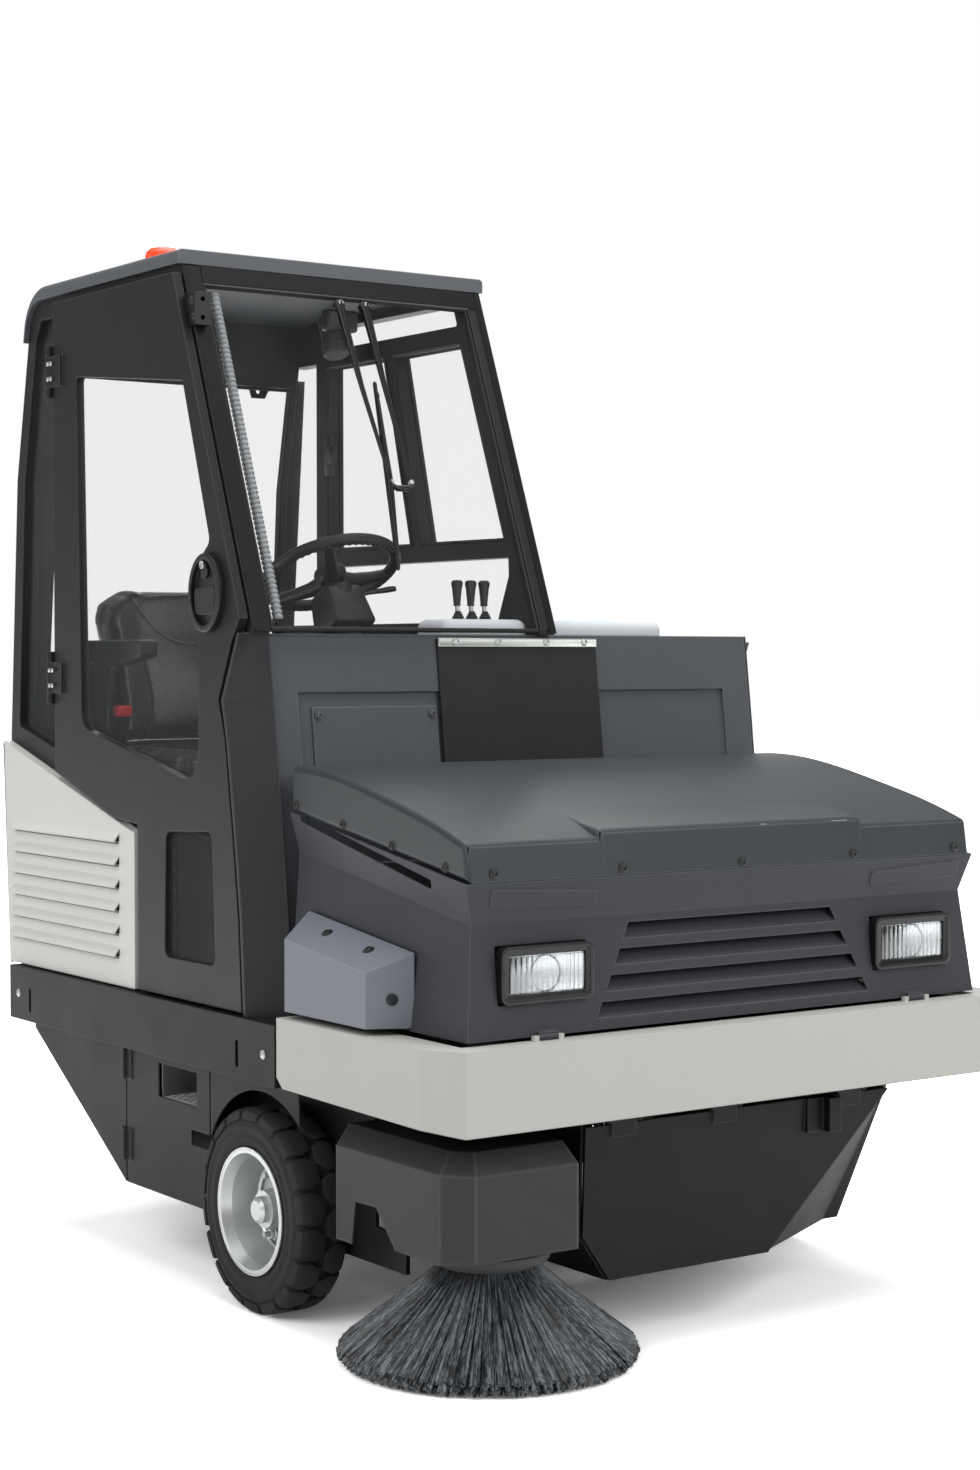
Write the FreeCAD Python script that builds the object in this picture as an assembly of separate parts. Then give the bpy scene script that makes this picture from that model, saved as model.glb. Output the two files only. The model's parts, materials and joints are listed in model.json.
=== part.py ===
import FreeCAD, Part
import math
import os

# Compact road sweeper, millimetres.
# X forward from the front axle, Y to the vehicle's left, Z up from the floor.

# Wheels
tyre_diameter = 415.0
tyre_width = 115.0
lug_depth = 11.0
lugs_per_row = 18
rim_seat_diameter = 250.0
rim_sheet = 6.0
wheel_outer_face = 685.0
rear_axle_x = -830.0
spindle_radius = 25.0
bearing_clearance = 0.05
stud_circle = 140.0
stud_count = 6

# Chassis
plate_outer = 560.0
plate_thickness = 10.0
floor_top = 599.0
floor_thickness = 12.0
beam_outer = 715.0
beam_bottom = 480.0
beam_top = 603.0
beam_rear = -1067.0
beam_front = 155.0
beam_depth = 75.0
beam_lip = 40.0
sheet = 4.0
skirt_outer = beam_outer - 60.0
skirt_bottom = 165.0
arch_radius = 240.0
running_gap = 6.0

# Front assembly that lifts
bumper_outer = 725.0
bumper_front = 754.0
bumper_rear = 180.0
bumper_top = 623.0
bumper_bottom = 478.0
hood_half_width = 638.0
hood_front = 706.0
hood_rear = 88.0
hood_bottom = 630.0
hood_fold_height = 839.0
hood_flange_height = 914.0
hood_slope = 0.163
hood_sheet = 4.0
bin_half_width = 449.0
bin_right = 342.0
bin_foot = 276.0
bin_knee = 232.0
bin_step = 500.0
bin_rear = 165.0
bin_front = 640.0
bin_bottom = 140.0
bin_top = 598.0
bin_sheet = 5.0
arm_pivot_x = 110.0
arm_pivot_z = 830.0
arm_length = 520.0
arm_droop = 35.0
arm_middle = 520.0
arm_thickness = 16.0
arm_height = 58.0
cylinder_middle = 482.0
cylinder_foot_x = 40.0
cylinder_foot_z = 330.0
cylinder_reach = 200.0
barrel_radius = 18.0
barrel_length = 300.0
rod_radius = 9.0

# Side brush
brush_x = 536.0
brush_y = -473.0
brush_tip_radius = 289.0
brush_plate_radius = 118.0
brush_tip_height = 8.0
tuft_count = 36
brush_arm_pivot_x = 318.0
brush_motor_bottom = 232.0
brush_arm_pivot_z = 268.0

# Main brush
main_brush_x = -400.0
main_brush_radius = 145.0
main_brush_height = 255.0
brush_lift_x = -740.0
brush_lift_z = 330.0
main_brush_half_length = 520.0
main_brush_core = 58.0
main_brush_rows = 12

# Cab, offset to the right
cab_right = beam_outer - 39.0
side_outer = cab_right + 22.0
cab_left = 75.0
cab_wall = 40.0
cab_top = 2140.0
roof_thickness = 30.0
windscreen_foot_x = 10.0
windscreen_foot_z = 1383.0
windscreen_top_x = -282.0
glass_thickness = 6.0
door_thickness = 20.0
door_seal = 5.0
door_gap = 7.0
dash_half_width = cab_right - 45.0
seat_middle = 351.0 - cab_right
roof_bend = 110.0
roof_rear_sheet = 12.0
dash_top = 1369.0

V = FreeCAD.Vector
UP = V(0, 0, 1)
LEFT = V(0, 1, 0)


# Helpers

def block(x0, x1, y0, y1, z0, z1):
    """A box between two corners, given as limits in each direction."""
    return Part.makeBox(x1 - x0, y1 - y0, z1 - z0, V(x0, y0, z0))


def corner_arc(before, corner, after, radius):
    """Start, middle and end of the arc that rounds a corner."""
    back = (before - corner).normalize()
    ahead = (after - corner).normalize()
    half = math.acos(max(-1.0, min(1.0, back.dot(ahead)))) / 2
    reach = radius / math.tan(half)
    bisector = (back + ahead).normalize()
    centre = corner + bisector * (radius / math.sin(half))
    return corner + back * reach, centre - bisector * radius, corner + ahead * reach


def wire(points, radius=0.0):
    """A closed outline through points, each corner rounded by its radius."""
    count = len(points)
    radii = radius if isinstance(radius, (list, tuple)) else [radius] * count
    edges = []
    ends = []
    for i in range(count):
        if radii[i] > 0:
            ends.append(corner_arc(points[i - 1], points[i], points[(i + 1) % count], radii[i]))
        else:
            ends.append((points[i], None, points[i]))
    for i in range(count):
        start, middle, end = ends[i]
        if middle is not None:
            edges.append(Part.Arc(start, middle, end).toShape())
        following = ends[(i + 1) % count][0]
        if (following - end).Length > 1e-6:
            edges.append(Part.LineSegment(end, following).toShape())
    return Part.Wire(edges)


def prism(points, direction, radius=0.0):
    """A solid that extrudes a closed outline along a vector."""
    return Part.Face(wire(points, radius)).extrude(direction)


def side_plate(points, y0, y1, radius=0.0):
    """A plate whose outline is given in X and Z."""
    return prism([V(x, y0, z) for x, z in points], V(0, y1 - y0, 0), radius)


def front_plate(points, x0, x1, radius=0.0):
    """A plate whose outline is given in Y and Z."""
    return prism([V(x0, y, z) for y, z in points], V(x1 - x0, 0, 0), radius)


def flat_plate(points, z0, z1, radius=0.0):
    """A plate whose outline is given in X and Y."""
    return prism([V(x, y, z0) for x, y in points], V(0, 0, z1 - z0), radius)


def beyond(origin, normal, size=1200.0):
    """A large block on one side of a plane."""
    slab = Part.makeBox(2 * size, 2 * size, size, V(-size, -size, 0))
    slab.Placement = FreeCAD.Placement(origin, FreeCAD.Rotation(UP, normal))
    return slab


def polygon(radius, along, sides=36):
    """A regular outline round the Y axis, with one corner straight down."""
    points = []
    for i in range(sides):
        angle = 2 * math.pi * i / sides
        points.append(V(radius * math.sin(angle), along, radius * math.cos(angle)))
    return points


def rod(start, end, radius):
    """A round bar between two points."""
    span = end - start
    return Part.makeCylinder(radius, span.Length, start, span)


def tube(start, end, outer, inner):
    """A round tube between two points."""
    return rod(start, end, outer).cut(rod(start, end, inner))


def loft(sections):
    """A solid with flat or ruled sides through closed outlines."""
    return Part.makeLoft([wire(points) for points in sections], True, True)


def fuse(shapes):
    """One solid from pieces that meet, with its seams cleaned."""
    first = shapes[0]
    if len(shapes) > 1:
        first = first.multiFuse(shapes[1:])
    return first.removeSplitter()


def cut(shape, tools):
    """A shape less each of the tools."""
    return shape.cut(Part.makeCompound(tools)) if tools else shape


def together(shapes):
    """Pieces of one node that don't touch each other."""
    return Part.makeCompound(shapes)


def mirrored(shape):
    """The same piece on the vehicle's other side."""
    return shape.mirror(V(0, 0, 0), LEFT)


def revolved(profile, centre, axis=LEFT):
    """A turned piece; the profile gives radius and place along the axis."""
    outline = [V(radius, 0, along) for radius, along in profile]
    solid = Part.Face(wire(outline)).revolve(V(0, 0, 0), UP, 360)
    if solid.Volume < 0:
        solid.reverse()
    solid.Placement = FreeCAD.Placement(centre, FreeCAD.Rotation(UP, axis))
    return solid


def moved(shape, place):
    """A copy of a shape moved by a vector."""
    copy = shape.copy()
    copy.translate(place)
    return copy


def turned(shape, centre, axis, degrees):
    """A copy of a shape turned about an axis."""
    copy = shape.copy()
    copy.rotate(centre, axis, degrees)
    return copy


# Wheels

tyre_radius = tyre_diameter / 2
rim_radius = rim_seat_diameter / 2
axle_height = tyre_radius
wheel_inner_face = wheel_outer_face - tyre_width
front_wheel_middle = wheel_outer_face - tyre_width / 2


def tyre():
    """Solid industrial tyre with two staggered rows of flat-topped blocks, about the origin."""
    half = tyre_width / 2
    body = tyre_radius - lug_depth
    shoulder = [(body - 26, -half), (body, -half + 14)]
    sections = shoulder + [(radius, -along) for radius, along in reversed(shoulder)]
    carcass = loft([polygon(radius, along, lugs_per_row) for radius, along in sections])
    seat = [(rim_radius + 16.5, -half - 1), (rim_radius + 0.5, -half + 8), (rim_radius + 0.5, half - 8),
            (rim_radius + 16.5, half + 1)]
    bore = loft([polygon(radius, along) for radius, along in seat])
    step = 2 * math.pi / lugs_per_row
    pitch = step * tyre_radius
    reach = 0.46
    corner = tyre_radius / math.cos((0.5 - reach) * step)
    land = tyre_radius - lug_depth - 8
    lug_top = corner * math.cos(reach * step)
    lug_outline = [
        (-0.40 * pitch, -half + 1.5),
        (0.34 * pitch, -half + 1.5),
        (0.42 * pitch, -half * 0.45),
        (0.26 * pitch, -2.5),
        (-0.24 * pitch, -2.5),
        (-corner * math.sin(reach * step), -half * 0.45),
    ]
    lug = prism([V(x, y, land) for x, y in lug_outline], V(0, 0, lug_top - land))
    second = turned(lug, V(0, 0, 0), UP, 180)
    lugs = []
    for i in range(lugs_per_row):
        lugs.append(turned(lug, V(0, 0, 0), LEFT, 360.0 * i / lugs_per_row))
        lugs.append(turned(second, V(0, 0, 0), LEFT, 360.0 * (i + 0.5) / lugs_per_row))
    return fuse([carcass.cut(bore)] + lugs)


def rim(centre, outward):
    """Dished steel rim with hub, studs and cap; outward is the dish's open side along Y."""
    half = tyre_width / 2
    disc = -half + 26
    hub_end = half - 34
    profile = [
        (spindle_radius + bearing_clearance, -half + 8),
        (46, -half + 8),
        (46, disc),
        (rim_radius - 34, disc),
        (rim_radius - rim_sheet, disc - 14),
        (rim_radius - rim_sheet, -half + 1),
        (rim_radius - 0.3, -half + 1),
        (rim_radius - 0.3, half - 1),
        (rim_radius - 8, half - 1),
        (rim_radius - 18, half - 22),
        (rim_radius - 34, disc + 8),
        (42, disc + 8),
        (38, hub_end),
        (spindle_radius + bearing_clearance, hub_end),
    ]
    solid = revolved(profile, V(0, 0, 0), LEFT)
    cap = revolved([(0, hub_end), (27, hub_end), (27, hub_end + 12), (20, hub_end + 18), (0, hub_end + 18)],
                   V(0, 0, 0), LEFT)
    studs = []
    for i in range(stud_count):
        angle = 2 * math.pi * i / stud_count
        foot = V(stud_circle / 2 * math.cos(angle), disc + 6, stud_circle / 2 * math.sin(angle))
        nut = [foot + corner for corner in polygon(11, 0, 6)]
        studs.append(prism(nut, V(0, 14, 0)))
        studs.append(rod(foot, foot + V(0, 28, 0), 6))
    solid = fuse([solid, cap] + studs)
    if outward < 0:
        solid = turned(solid, V(0, 0, 0), UP, 180)
    solid.translate(centre)
    return solid


# Chassis

def chassis_side():
    """Left side plate with the post that carries the lift arm."""
    plate = side_plate(
        [(beam_rear + 12, floor_top - floor_thickness), (beam_rear + 12, 470), (-590, 215), (-570, 205), (120, 205),
         (140, 138), (385, 138), (385, 200), (276, 212), (276, floor_top - floor_thickness)],
        plate_outer - plate_thickness, plate_outer)
    opening = rod(V(main_brush_x, 500, main_brush_height), V(main_brush_x, 600, main_brush_height),
                  main_brush_radius + 15)
    plate = plate.cut(opening)
    post_inner = arm_middle + arm_thickness / 2 + 6
    post = side_plate(
        [(arm_pivot_x - 32, 470), (arm_pivot_x + 40, 470), (arm_pivot_x + 30, arm_pivot_z + 10),
         (arm_pivot_x + 10, arm_pivot_z + 36), (arm_pivot_x - 14, arm_pivot_z + 36), (arm_pivot_x - 28, arm_pivot_z)],
        post_inner, plate_outer - plate_thickness)
    pin = rod(V(arm_pivot_x, arm_middle - arm_thickness / 2 - 14, arm_pivot_z),
              V(arm_pivot_x, post_inner, arm_pivot_z), 14)
    foot = fuse([
        block(cylinder_foot_x - 22, cylinder_foot_x + 22, cylinder_middle + barrel_radius + 3, plate_outer - plate_thickness,
              cylinder_foot_z - 26, cylinder_foot_z + 26),
        rod(V(cylinder_foot_x, cylinder_middle - 13, cylinder_foot_z),
            V(cylinder_foot_x, cylinder_middle + barrel_radius + 5, cylinder_foot_z), 9)])
    lift_pin = rod(V(brush_lift_x, 520, brush_lift_z), V(brush_lift_x, plate_outer - plate_thickness, brush_lift_z), 14)
    return fuse([plate, post, pin, foot, lift_pin])


def chassis_frame():
    """Two side plates, cross members and the floor."""
    left = chassis_side()
    inner = plate_outer - plate_thickness
    floor_bottom = floor_top - floor_thickness
    floor_edge = beam_outer - beam_depth + 1
    floor = block(beam_rear + 12, 60, -floor_edge, floor_edge, floor_bottom, floor_top)
    members = [
        block(-30, 30, -inner, inner, floor_bottom - 60, floor_bottom),
        block(-660, -600, -inner, inner, floor_bottom - 60, floor_bottom),
        block(rear_axle_x - 110, rear_axle_x + 110, -inner, inner, floor_bottom - 30, floor_bottom),
    ]
    bracket = block(264, brush_arm_pivot_x + 22, -inner, -inner + 14, brush_arm_pivot_z - 24, brush_arm_pivot_z + 24)
    pin = rod(V(brush_arm_pivot_x, -inner, brush_arm_pivot_z), V(brush_arm_pivot_x, -430, brush_arm_pivot_z), 12)
    return fuse([left, mirrored(left), floor, bracket, pin] + members)


def stub_axle():
    """Left wheel's spindle with its flange on the side plate."""
    end = front_wheel_middle + tyre_width / 2 - 34
    flange = rod(V(0, plate_outer, axle_height), V(0, plate_outer + 9, axle_height), 62)
    shaft = rod(V(0, plate_outer, axle_height), V(0, end - 0.5, axle_height), spindle_radius)
    return fuse([flange, shaft])


def side_beam():
    """Left sill beam, a channel that opens inwards, with its two slots."""
    solid = block(beam_rear, beam_front, beam_outer - beam_depth, beam_outer, beam_bottom, beam_top)
    hollow = block(beam_rear + sheet, beam_front - sheet, beam_outer - beam_depth - 1, beam_outer - sheet,
                   beam_bottom + sheet, beam_top - sheet)
    solid = solid.cut(hollow)
    lip = block(beam_rear, 60, beam_outer - beam_depth - beam_lip, beam_outer - beam_depth, beam_top - sheet,
                beam_top)
    solid = fuse([solid, lip])
    slots = []
    for x in (-958.0, 6.0):
        slots.append(side_plate([(x - 6.5, 502), (x + 6.5, 502), (x + 6.5, 558), (x - 6.5, 558)],
                                beam_outer - 20, beam_outer + 1, 6.4))
    return cut(solid, slots)


def rear_beam():
    """Cross beam that closes the rear between the sills."""
    edge = beam_outer - beam_depth
    solid = block(beam_rear - 30, beam_rear + 11, -edge, edge, beam_bottom, beam_top - sheet - 0.5)
    hollow = block(beam_rear - 26, beam_rear + 12, -edge + sheet, edge - sheet, beam_bottom + sheet,
                   beam_top - 2 * sheet)
    return solid.cut(hollow)


door_hinge_x = -590.0
door_front_x = -215.0
hinge_heights = (215, 395)


def skirt():
    """Left skirt behind the brush door and around the wheel arch."""
    rear = side_plate([(door_hinge_x - 4, beam_bottom), (-1088 + 30, beam_bottom), (-1088 + 30, 450),
                       (door_hinge_x - 4, skirt_bottom)], skirt_outer - sheet, skirt_outer)
    front = side_plate([(door_front_x + 6, skirt_bottom), (beam_front - 8, skirt_bottom), (beam_front - 8, beam_bottom),
                        (door_front_x + 6, beam_bottom)], skirt_outer - sheet, skirt_outer)
    arch = rod(V(0, skirt_outer - 20, axle_height), V(0, skirt_outer + 20, axle_height), arch_radius)
    lower = block(0, 400, skirt_outer - 20, skirt_outer + 20, 0, axle_height + 150)
    front = front.cut(arch).cut(lower)
    stay = block(door_front_x + 6, door_front_x + 10, plate_outer, skirt_outer - sheet, 345, beam_bottom)
    rear_stay = block(door_hinge_x - 60, door_hinge_x - 56, plate_outer, skirt_outer - sheet, 230, beam_bottom)
    leaves = [block(door_hinge_x - 26, door_hinge_x - 5.3, skirt_outer, skirt_outer + 3, z, z + 70)
              for z in hinge_heights]
    return together([fuse([front, stay]), fuse([rear, rear_stay] + leaves)])


def brush_door():
    """Left access door to the main brush, with step opening and hand hole."""
    plate = side_plate([(door_hinge_x + 2, skirt_bottom), (door_front_x, skirt_bottom),
                        (door_front_x, beam_bottom - running_gap), (door_hinge_x + 2, beam_bottom - running_gap)],
                       skirt_outer - sheet, skirt_outer)
    step = block(-441, -270, skirt_outer - 30, skirt_outer + 30, 375, 448)
    hand = block(-294, door_front_x + 20, skirt_outer - 30, skirt_outer + 30, 293, 325)
    plate = cut(plate, [step, hand])
    hinge_y = skirt_outer + 5
    knuckles = [rod(V(door_hinge_x, hinge_y, z), V(door_hinge_x, hinge_y, z + 70), 5) for z in hinge_heights]
    leaves = [block(door_hinge_x + 2, door_hinge_x + 26, skirt_outer, skirt_outer + 3, z, z + 70)
              for z in hinge_heights]
    return fuse([plate] + knuckles + leaves)


def step_tray():
    """Left step behind its opening in the brush door."""
    depth = skirt_outer - sheet - running_gap
    tray = block(-447, -264, plate_outer, depth, 368, 455)
    return tray.cut(block(-443, -268, plate_outer - 1, depth + 1, 372, 451))


# Rear body

louvre_rows = 6
louvre_pitch = 50.0
louvre_first = 925.0


def louvred(panel, x0, x1, y, outward):
    """Adds pressed louvres to a side panel and opens a slot under each."""
    for i in range(louvre_rows):
        z = louvre_first - i * louvre_pitch
        rear = x0 + (louvre_rows - 1 - i) * 2.0
        profile = [(y, z + 16), (y + outward * 13, z - 2), (y + outward * 13, z - 5), (y, z - 5)]
        panel = panel.fuse(front_plate(profile, rear, x1))
        slot = [(y - outward * 20, z + 4), (y + outward * 10.5, z - 2.5), (y + outward * 10.5, z - 6),
                (y - outward * 20, z - 6)]
        panel = panel.cut(front_plate(slot, rear + 3, x1 - 3))
    return panel


def rear_x(z):
    """Outer face of the cab's rear foot at a height."""
    return -1103 - (z - beam_top) * 33.0 / 535.0


def rear_side_panel(left):
    """Louvred pan on one side of the rear body."""
    sign = 1 if left else -1
    points = [(-1129, 1124), (-1103, beam_top + 4), (-466, beam_top + 4), (-466, 946), (-485, 948)]
    inside = [(-1124, 1117), (-1099, beam_top + 8), (-470, beam_top + 8), (-470, 941), (-485, 943)]
    panel = side_plate(points, sign * cab_right, sign * side_outer)
    panel = panel.cut(side_plate(inside, sign * (cab_right - 1), sign * (side_outer - sheet)))
    return louvred(panel, -1080, -538, sign * side_outer, sign).removeSplitter()


def rear_panel():
    """Panel across the back of the body with a louvred vent."""
    low, high = beam_top, 1118
    points = [(rear_x(low), low), (rear_x(high), high), (rear_x(high) - 8, high), (rear_x(low) - 8, low)]
    panel = side_plate(points, -side_outer + sheet, side_outer - sheet)
    slots = []
    for i in range(louvre_rows + 2):
        z = 680 + 48 * i
        slots.append(block(-1160, -1090, -420, -40, z, z + 22))
        slots.append(block(-1160, -1090, 40, 420, z, z + 22))
    return cut(panel, slots)


def left_body():
    """Cover at the left of the cab, over the engine bay."""
    outline = [(rear_x(1124), 1124.5), (-485, 950.5), (-430, 948), (-430, beam_top), (1, beam_top), (-12, 800),
               (-34, 960), (-65, 1157), (-85, 1235), (-60, 1320), (-45, 1356), (-141, 1356), (-141, 1366),
               (-420, 1366), (rear_x(1150), 1150)]
    outer = side_plate(outline, cab_left + 0.3, cab_right)
    inside = [(-1123, 1100), (-1123, 1144), (-421, 1360), (-147, 1360), (-147, 1350), (-55, 1350), (-66, 1322),
              (-91, 1237), (-71, 1157), (-40, 960), (-18, 800), (-6, 590), (-424, 590), (-424, 900), (-485, 900)]
    inner = side_plate(inside, cab_left - 5, cab_right - 6)
    return outer.cut(inner)


def engine_block():
    return block(-1040, -560, cab_left + 45, beam_outer - beam_depth - beam_lip, floor_top, 1040)


# Dash

def dash_profile(offset):
    """Front line of the dash from the top down, moved along X."""
    return [(-14 + offset, dash_top), (20 + offset, 1097), (60 + offset, 780), (68 + offset, floor_top + 4)]


def dash_x(z):
    """Front face of the dash at a height."""
    if z > 1097:
        return -14 + (dash_top - z) * 34.0 / 272.0
    return 20 + (1097 - z) * 40.0 / 317.0


recess_depth = 8.0
recess_top = 1250.0


def dash_panel():
    """Folded front panel with a recess for the hatch and the flap."""
    front = dash_profile(0)
    back = dash_profile(-14)
    panel = side_plate(front + back[::-1], -dash_half_width, dash_half_width)
    recess = side_plate([(dash_x(z) - recess_depth, z) for z in (recess_top, 1097, 900)]
                        + [(100, 900), (100, recess_top)], 62 - dash_half_width, dash_half_width - 75)
    ledge = side_plate([(-16, dash_top - 12), (-14, dash_top), (-140, dash_top), (-140, dash_top - 12)],
                       -dash_half_width, dash_half_width)
    notch = block(-200, -38, cab_left - cab_wall - 0.3, cab_left + 0.3, 1300, 1400)
    return fuse([panel.cut(recess), ledge.cut(notch)])


def cheek():
    """Chamfered panel between the dash front and the right-hand side."""
    front_chain = [(-6, 1370), (14, 1260), (30, 1150), (50, 960), (72, 777), (79, beam_top)]
    rear_chain = [(-6, 1370), (-71, 1235), (-51, 1157), (-20, 960), (2, 800), (15, beam_top)]
    inner = dash_half_width
    outer = cab_right + 24.0
    first = [V(x, -inner, z) for x, z in front_chain] + [V(x - 24, -inner, z) for x, z in reversed(front_chain)]
    second = [V(x, -outer, z) for x, z in rear_chain] + [V(x - 8, -outer, z) for x, z in reversed(rear_chain)]
    return loft([first, second])


def left_return():
    """Flat return that closes the dash's left edge towards the engine cover."""
    front = [(-14, dash_top), (20, 1097), (60, 780), (68, beam_top + 1)]
    rear = [(4, beam_top + 1), (-11.4, 800), (-33.4, 960), (-64.4, 1157), (-84.4, 1235), (-59.4, 1320), (-44.4, 1356),
            (-44.4, dash_top)]
    return side_plate(front + rear, dash_half_width, dash_half_width + 6)


def dash_strip(y0, y1, top, bottom, inner, outer):
    """A sheet that lies along the dash front between two heights."""
    return side_plate([(dash_x(top) + inner, top), (dash_x(top) + outer, top), (dash_x(bottom) + outer, bottom),
                       (dash_x(bottom) + inner, bottom)], y0, y1)


def seal_flap():
    """Rubber flap hung on the dash front."""
    return dash_strip(-223, 196, 1360, 1098, 0.3, 5)


def clamp_strip():
    """Metal strip that clamps the flap's top edge."""
    return dash_strip(-223, 196, 1362, 1336, 5, 9)


def dash_hatch():
    """Screwed hatch in the recess of the dash."""
    return dash_strip(-535, -230, 1220, 1100, 0.3 - recess_depth, 5 - recess_depth)


hump_top = 1403.0
hump_round = 22.0
grip_bottom = 1432.0
grip_top = 1488.0


def dash_covers():
    """Moulded covers on top of the dash beside the levers."""
    right = block(-150, -30, -187, cab_left - cab_wall - 0.3, dash_top, hump_top)
    left = block(-150, -30, cab_left + 0.3, 408, dash_top, hump_top)
    bodies = []
    for body in (right, left):
        edges = [e for e in body.Edges if e.BoundBox.ZMin > dash_top + 5 or e.BoundBox.ZLength > 20]
        bodies.append(body.makeFillet(hump_round, edges))
    slot = block(-118, -62, -130, -22, dash_top + 5, grip_top)
    return together([bodies[0].cut(slot), bodies[1]])


def levers():
    """Three levers with flared grips that stand in the dash cover."""
    pieces = []
    for y in (-111, -75, -40):
        stem = rod(V(-90, y, dash_top + 5.6), V(-96, y, grip_bottom + 8), 5)
        grip = Part.makeCone(7, 13, grip_top - grip_bottom - 9, V(-96, y, grip_bottom))
        cap = Part.makeCone(13, 8, 9, V(-96, y, grip_top - 9))
        pieces.append(fuse([stem, grip, cap]))
    return together(pieces)


# Cab

def screen_x(z):
    """Outer face of the windscreen's plane at a height."""
    lean = (windscreen_foot_x - windscreen_top_x) / (2142 - windscreen_foot_z)
    return windscreen_top_x + (2142 - z) * lean


rear_low_x = -1136.0
rear_low = 1138.0
rear_bend_x = -1095.0
rear_bend = 1737.0
rear_top_lean = 0.2076


def rear_line(z):
    """Outer line of the cab's rear at a height, with its bend."""
    if z > rear_bend:
        return rear_bend_x + (z - rear_bend) * rear_top_lean
    return rear_bend_x - (rear_bend - z) * (rear_bend_x - rear_low_x) / (rear_bend - rear_low)


def cab_outline():
    """Side outline of the cab from the rear foot over the roof to the windscreen's foot."""
    return [(-1103, beam_top), (rear_low_x, rear_low), (rear_bend_x, rear_bend), (rear_line(cab_top), cab_top),
            (screen_x(cab_top), cab_top), (windscreen_foot_x, windscreen_foot_z)]


def door_outline():
    """Outline of the door, which lies over the side frame."""
    top = cab_top - 20
    bottom = beam_top + door_gap
    return [(-848, top), (screen_x(top) - 6, top), (screen_x(1400) - 6, 1400), (-30 - door_gap, 1352),
            (-84 - door_gap, 1235), (-58 - door_gap, 1157), (-27 - door_gap, 960), (-5 - door_gap, 800),
            (8 - door_gap, bottom), (-445, bottom), (-445, 964), (-558, 972), (-848, 1063)]


hinge_x = -860.0
hinge_length = 70.0
door_hinge_heights = (1240, 1930)
door_outer = cab_right + door_seal + door_thickness
hinge_y = -door_outer - 4.0


quarter_window = [(-890, 2095), (-890, 1110), (-1092, 1160), (-1056, 1732), (-990, 2050), (-965, 2095)]
quarter_round = 12.0


def frame_radii(count):
    """Corner radii of a side frame: only the roof's rear bend is round."""
    return [roof_bend - roof_thickness + 4 if i == 3 else 0.0 for i in range(count)]


def cab_side_right():
    """Right side frame with the door opening, quarter window and engine bay."""
    outline = cab_outline() + [(windscreen_foot_x - 4, dash_top + 1.3), (windscreen_foot_x - 50, dash_top + 1.3),
                               (-100, 1200), (40, beam_top)]
    plate = side_plate(outline, -cab_right, -cab_right + cab_wall, frame_radii(len(outline)))
    pillar = 42
    top = cab_top - 36
    sill = dash_top + 2
    beyond_wall = (-cab_right - 10, -cab_right + cab_wall + 10)
    doorway = side_plate([(-850, top), (screen_x(top) - pillar, top), (screen_x(sill) - pillar, sill),
                          (150, sill), (150, beam_top - 5), (-432, beam_top - 5), (-432, 952), (-558, 960),
                          (-850, 1050)], *beyond_wall)
    quarter = side_plate(quarter_window, *beyond_wall, quarter_round)
    bay = side_plate([(-1075, beam_top + 25), (-464, beam_top + 25), (-464, 925), (-1095, 1085)], *beyond_wall)
    lugs = []
    for z in door_hinge_heights:
        for low in (z - 24.3, z + hinge_length + 0.3):
            lugs.append(block(hinge_x - 8, hinge_x + 8, hinge_y, -cab_right + 4, low, low + 24))
            lugs.append(rod(V(hinge_x, hinge_y, low), V(hinge_x, hinge_y, low + 24), 8))
    return fuse([cut(plate, [doorway, quarter, bay] + mirror_holes())] + lugs)


def left_windows():
    """Outlines of the left wall's windows: roof strip, rear strip, two sliding halves and low pane."""
    post = 55
    return [
        [(-880, 2066), (-880, 2117), (screen_x(2117) - post, 2117), (screen_x(2066) - post, 2066)],
        [(-917, 1400), (-917, 2037), (-1036, 2037), (rear_line(1465) + 25, 1465), (rear_line(1400) + 25, 1400)],
        [(-866, 1580), (-866, 2026), (-607, 2026), (-493, 1580)],
        [(-572, 2026), (screen_x(2026) - post, 2026), (screen_x(1580) - post, 1580), (-455, 1580)],
        [(-866, 1400), (-866, 1540), (-110, 1540), (-108, 1500), (-150, 1400)],
    ]


def cab_side_left():
    """Left side wall with its bars between five windows above the engine cover."""
    outline = cab_outline() + [(windscreen_foot_x - 4, dash_top + 0.3), (-40, dash_top + 0.3), (-40, beam_top)]
    plate = side_plate(outline, cab_left - cab_wall, cab_left, frame_radii(len(outline)))
    return cut(plate, [side_plate(window, 0, 100, 5) for window in left_windows()])


rear_window_bottom = 1300.0
rear_window_top = 1985.0
rear_window_right = 36.0
rear_window_left = 10.0
rear_wall_depth = 34.0


def rear_band(shift, low, high):
    """Points up the cab's rear line between two heights, moved along X."""
    middle = [(rear_bend_x + shift, rear_bend)] if low < rear_bend < high else []
    return [(rear_line(low) + shift, low)] + middle + [(rear_line(high) + shift, high)]


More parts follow.
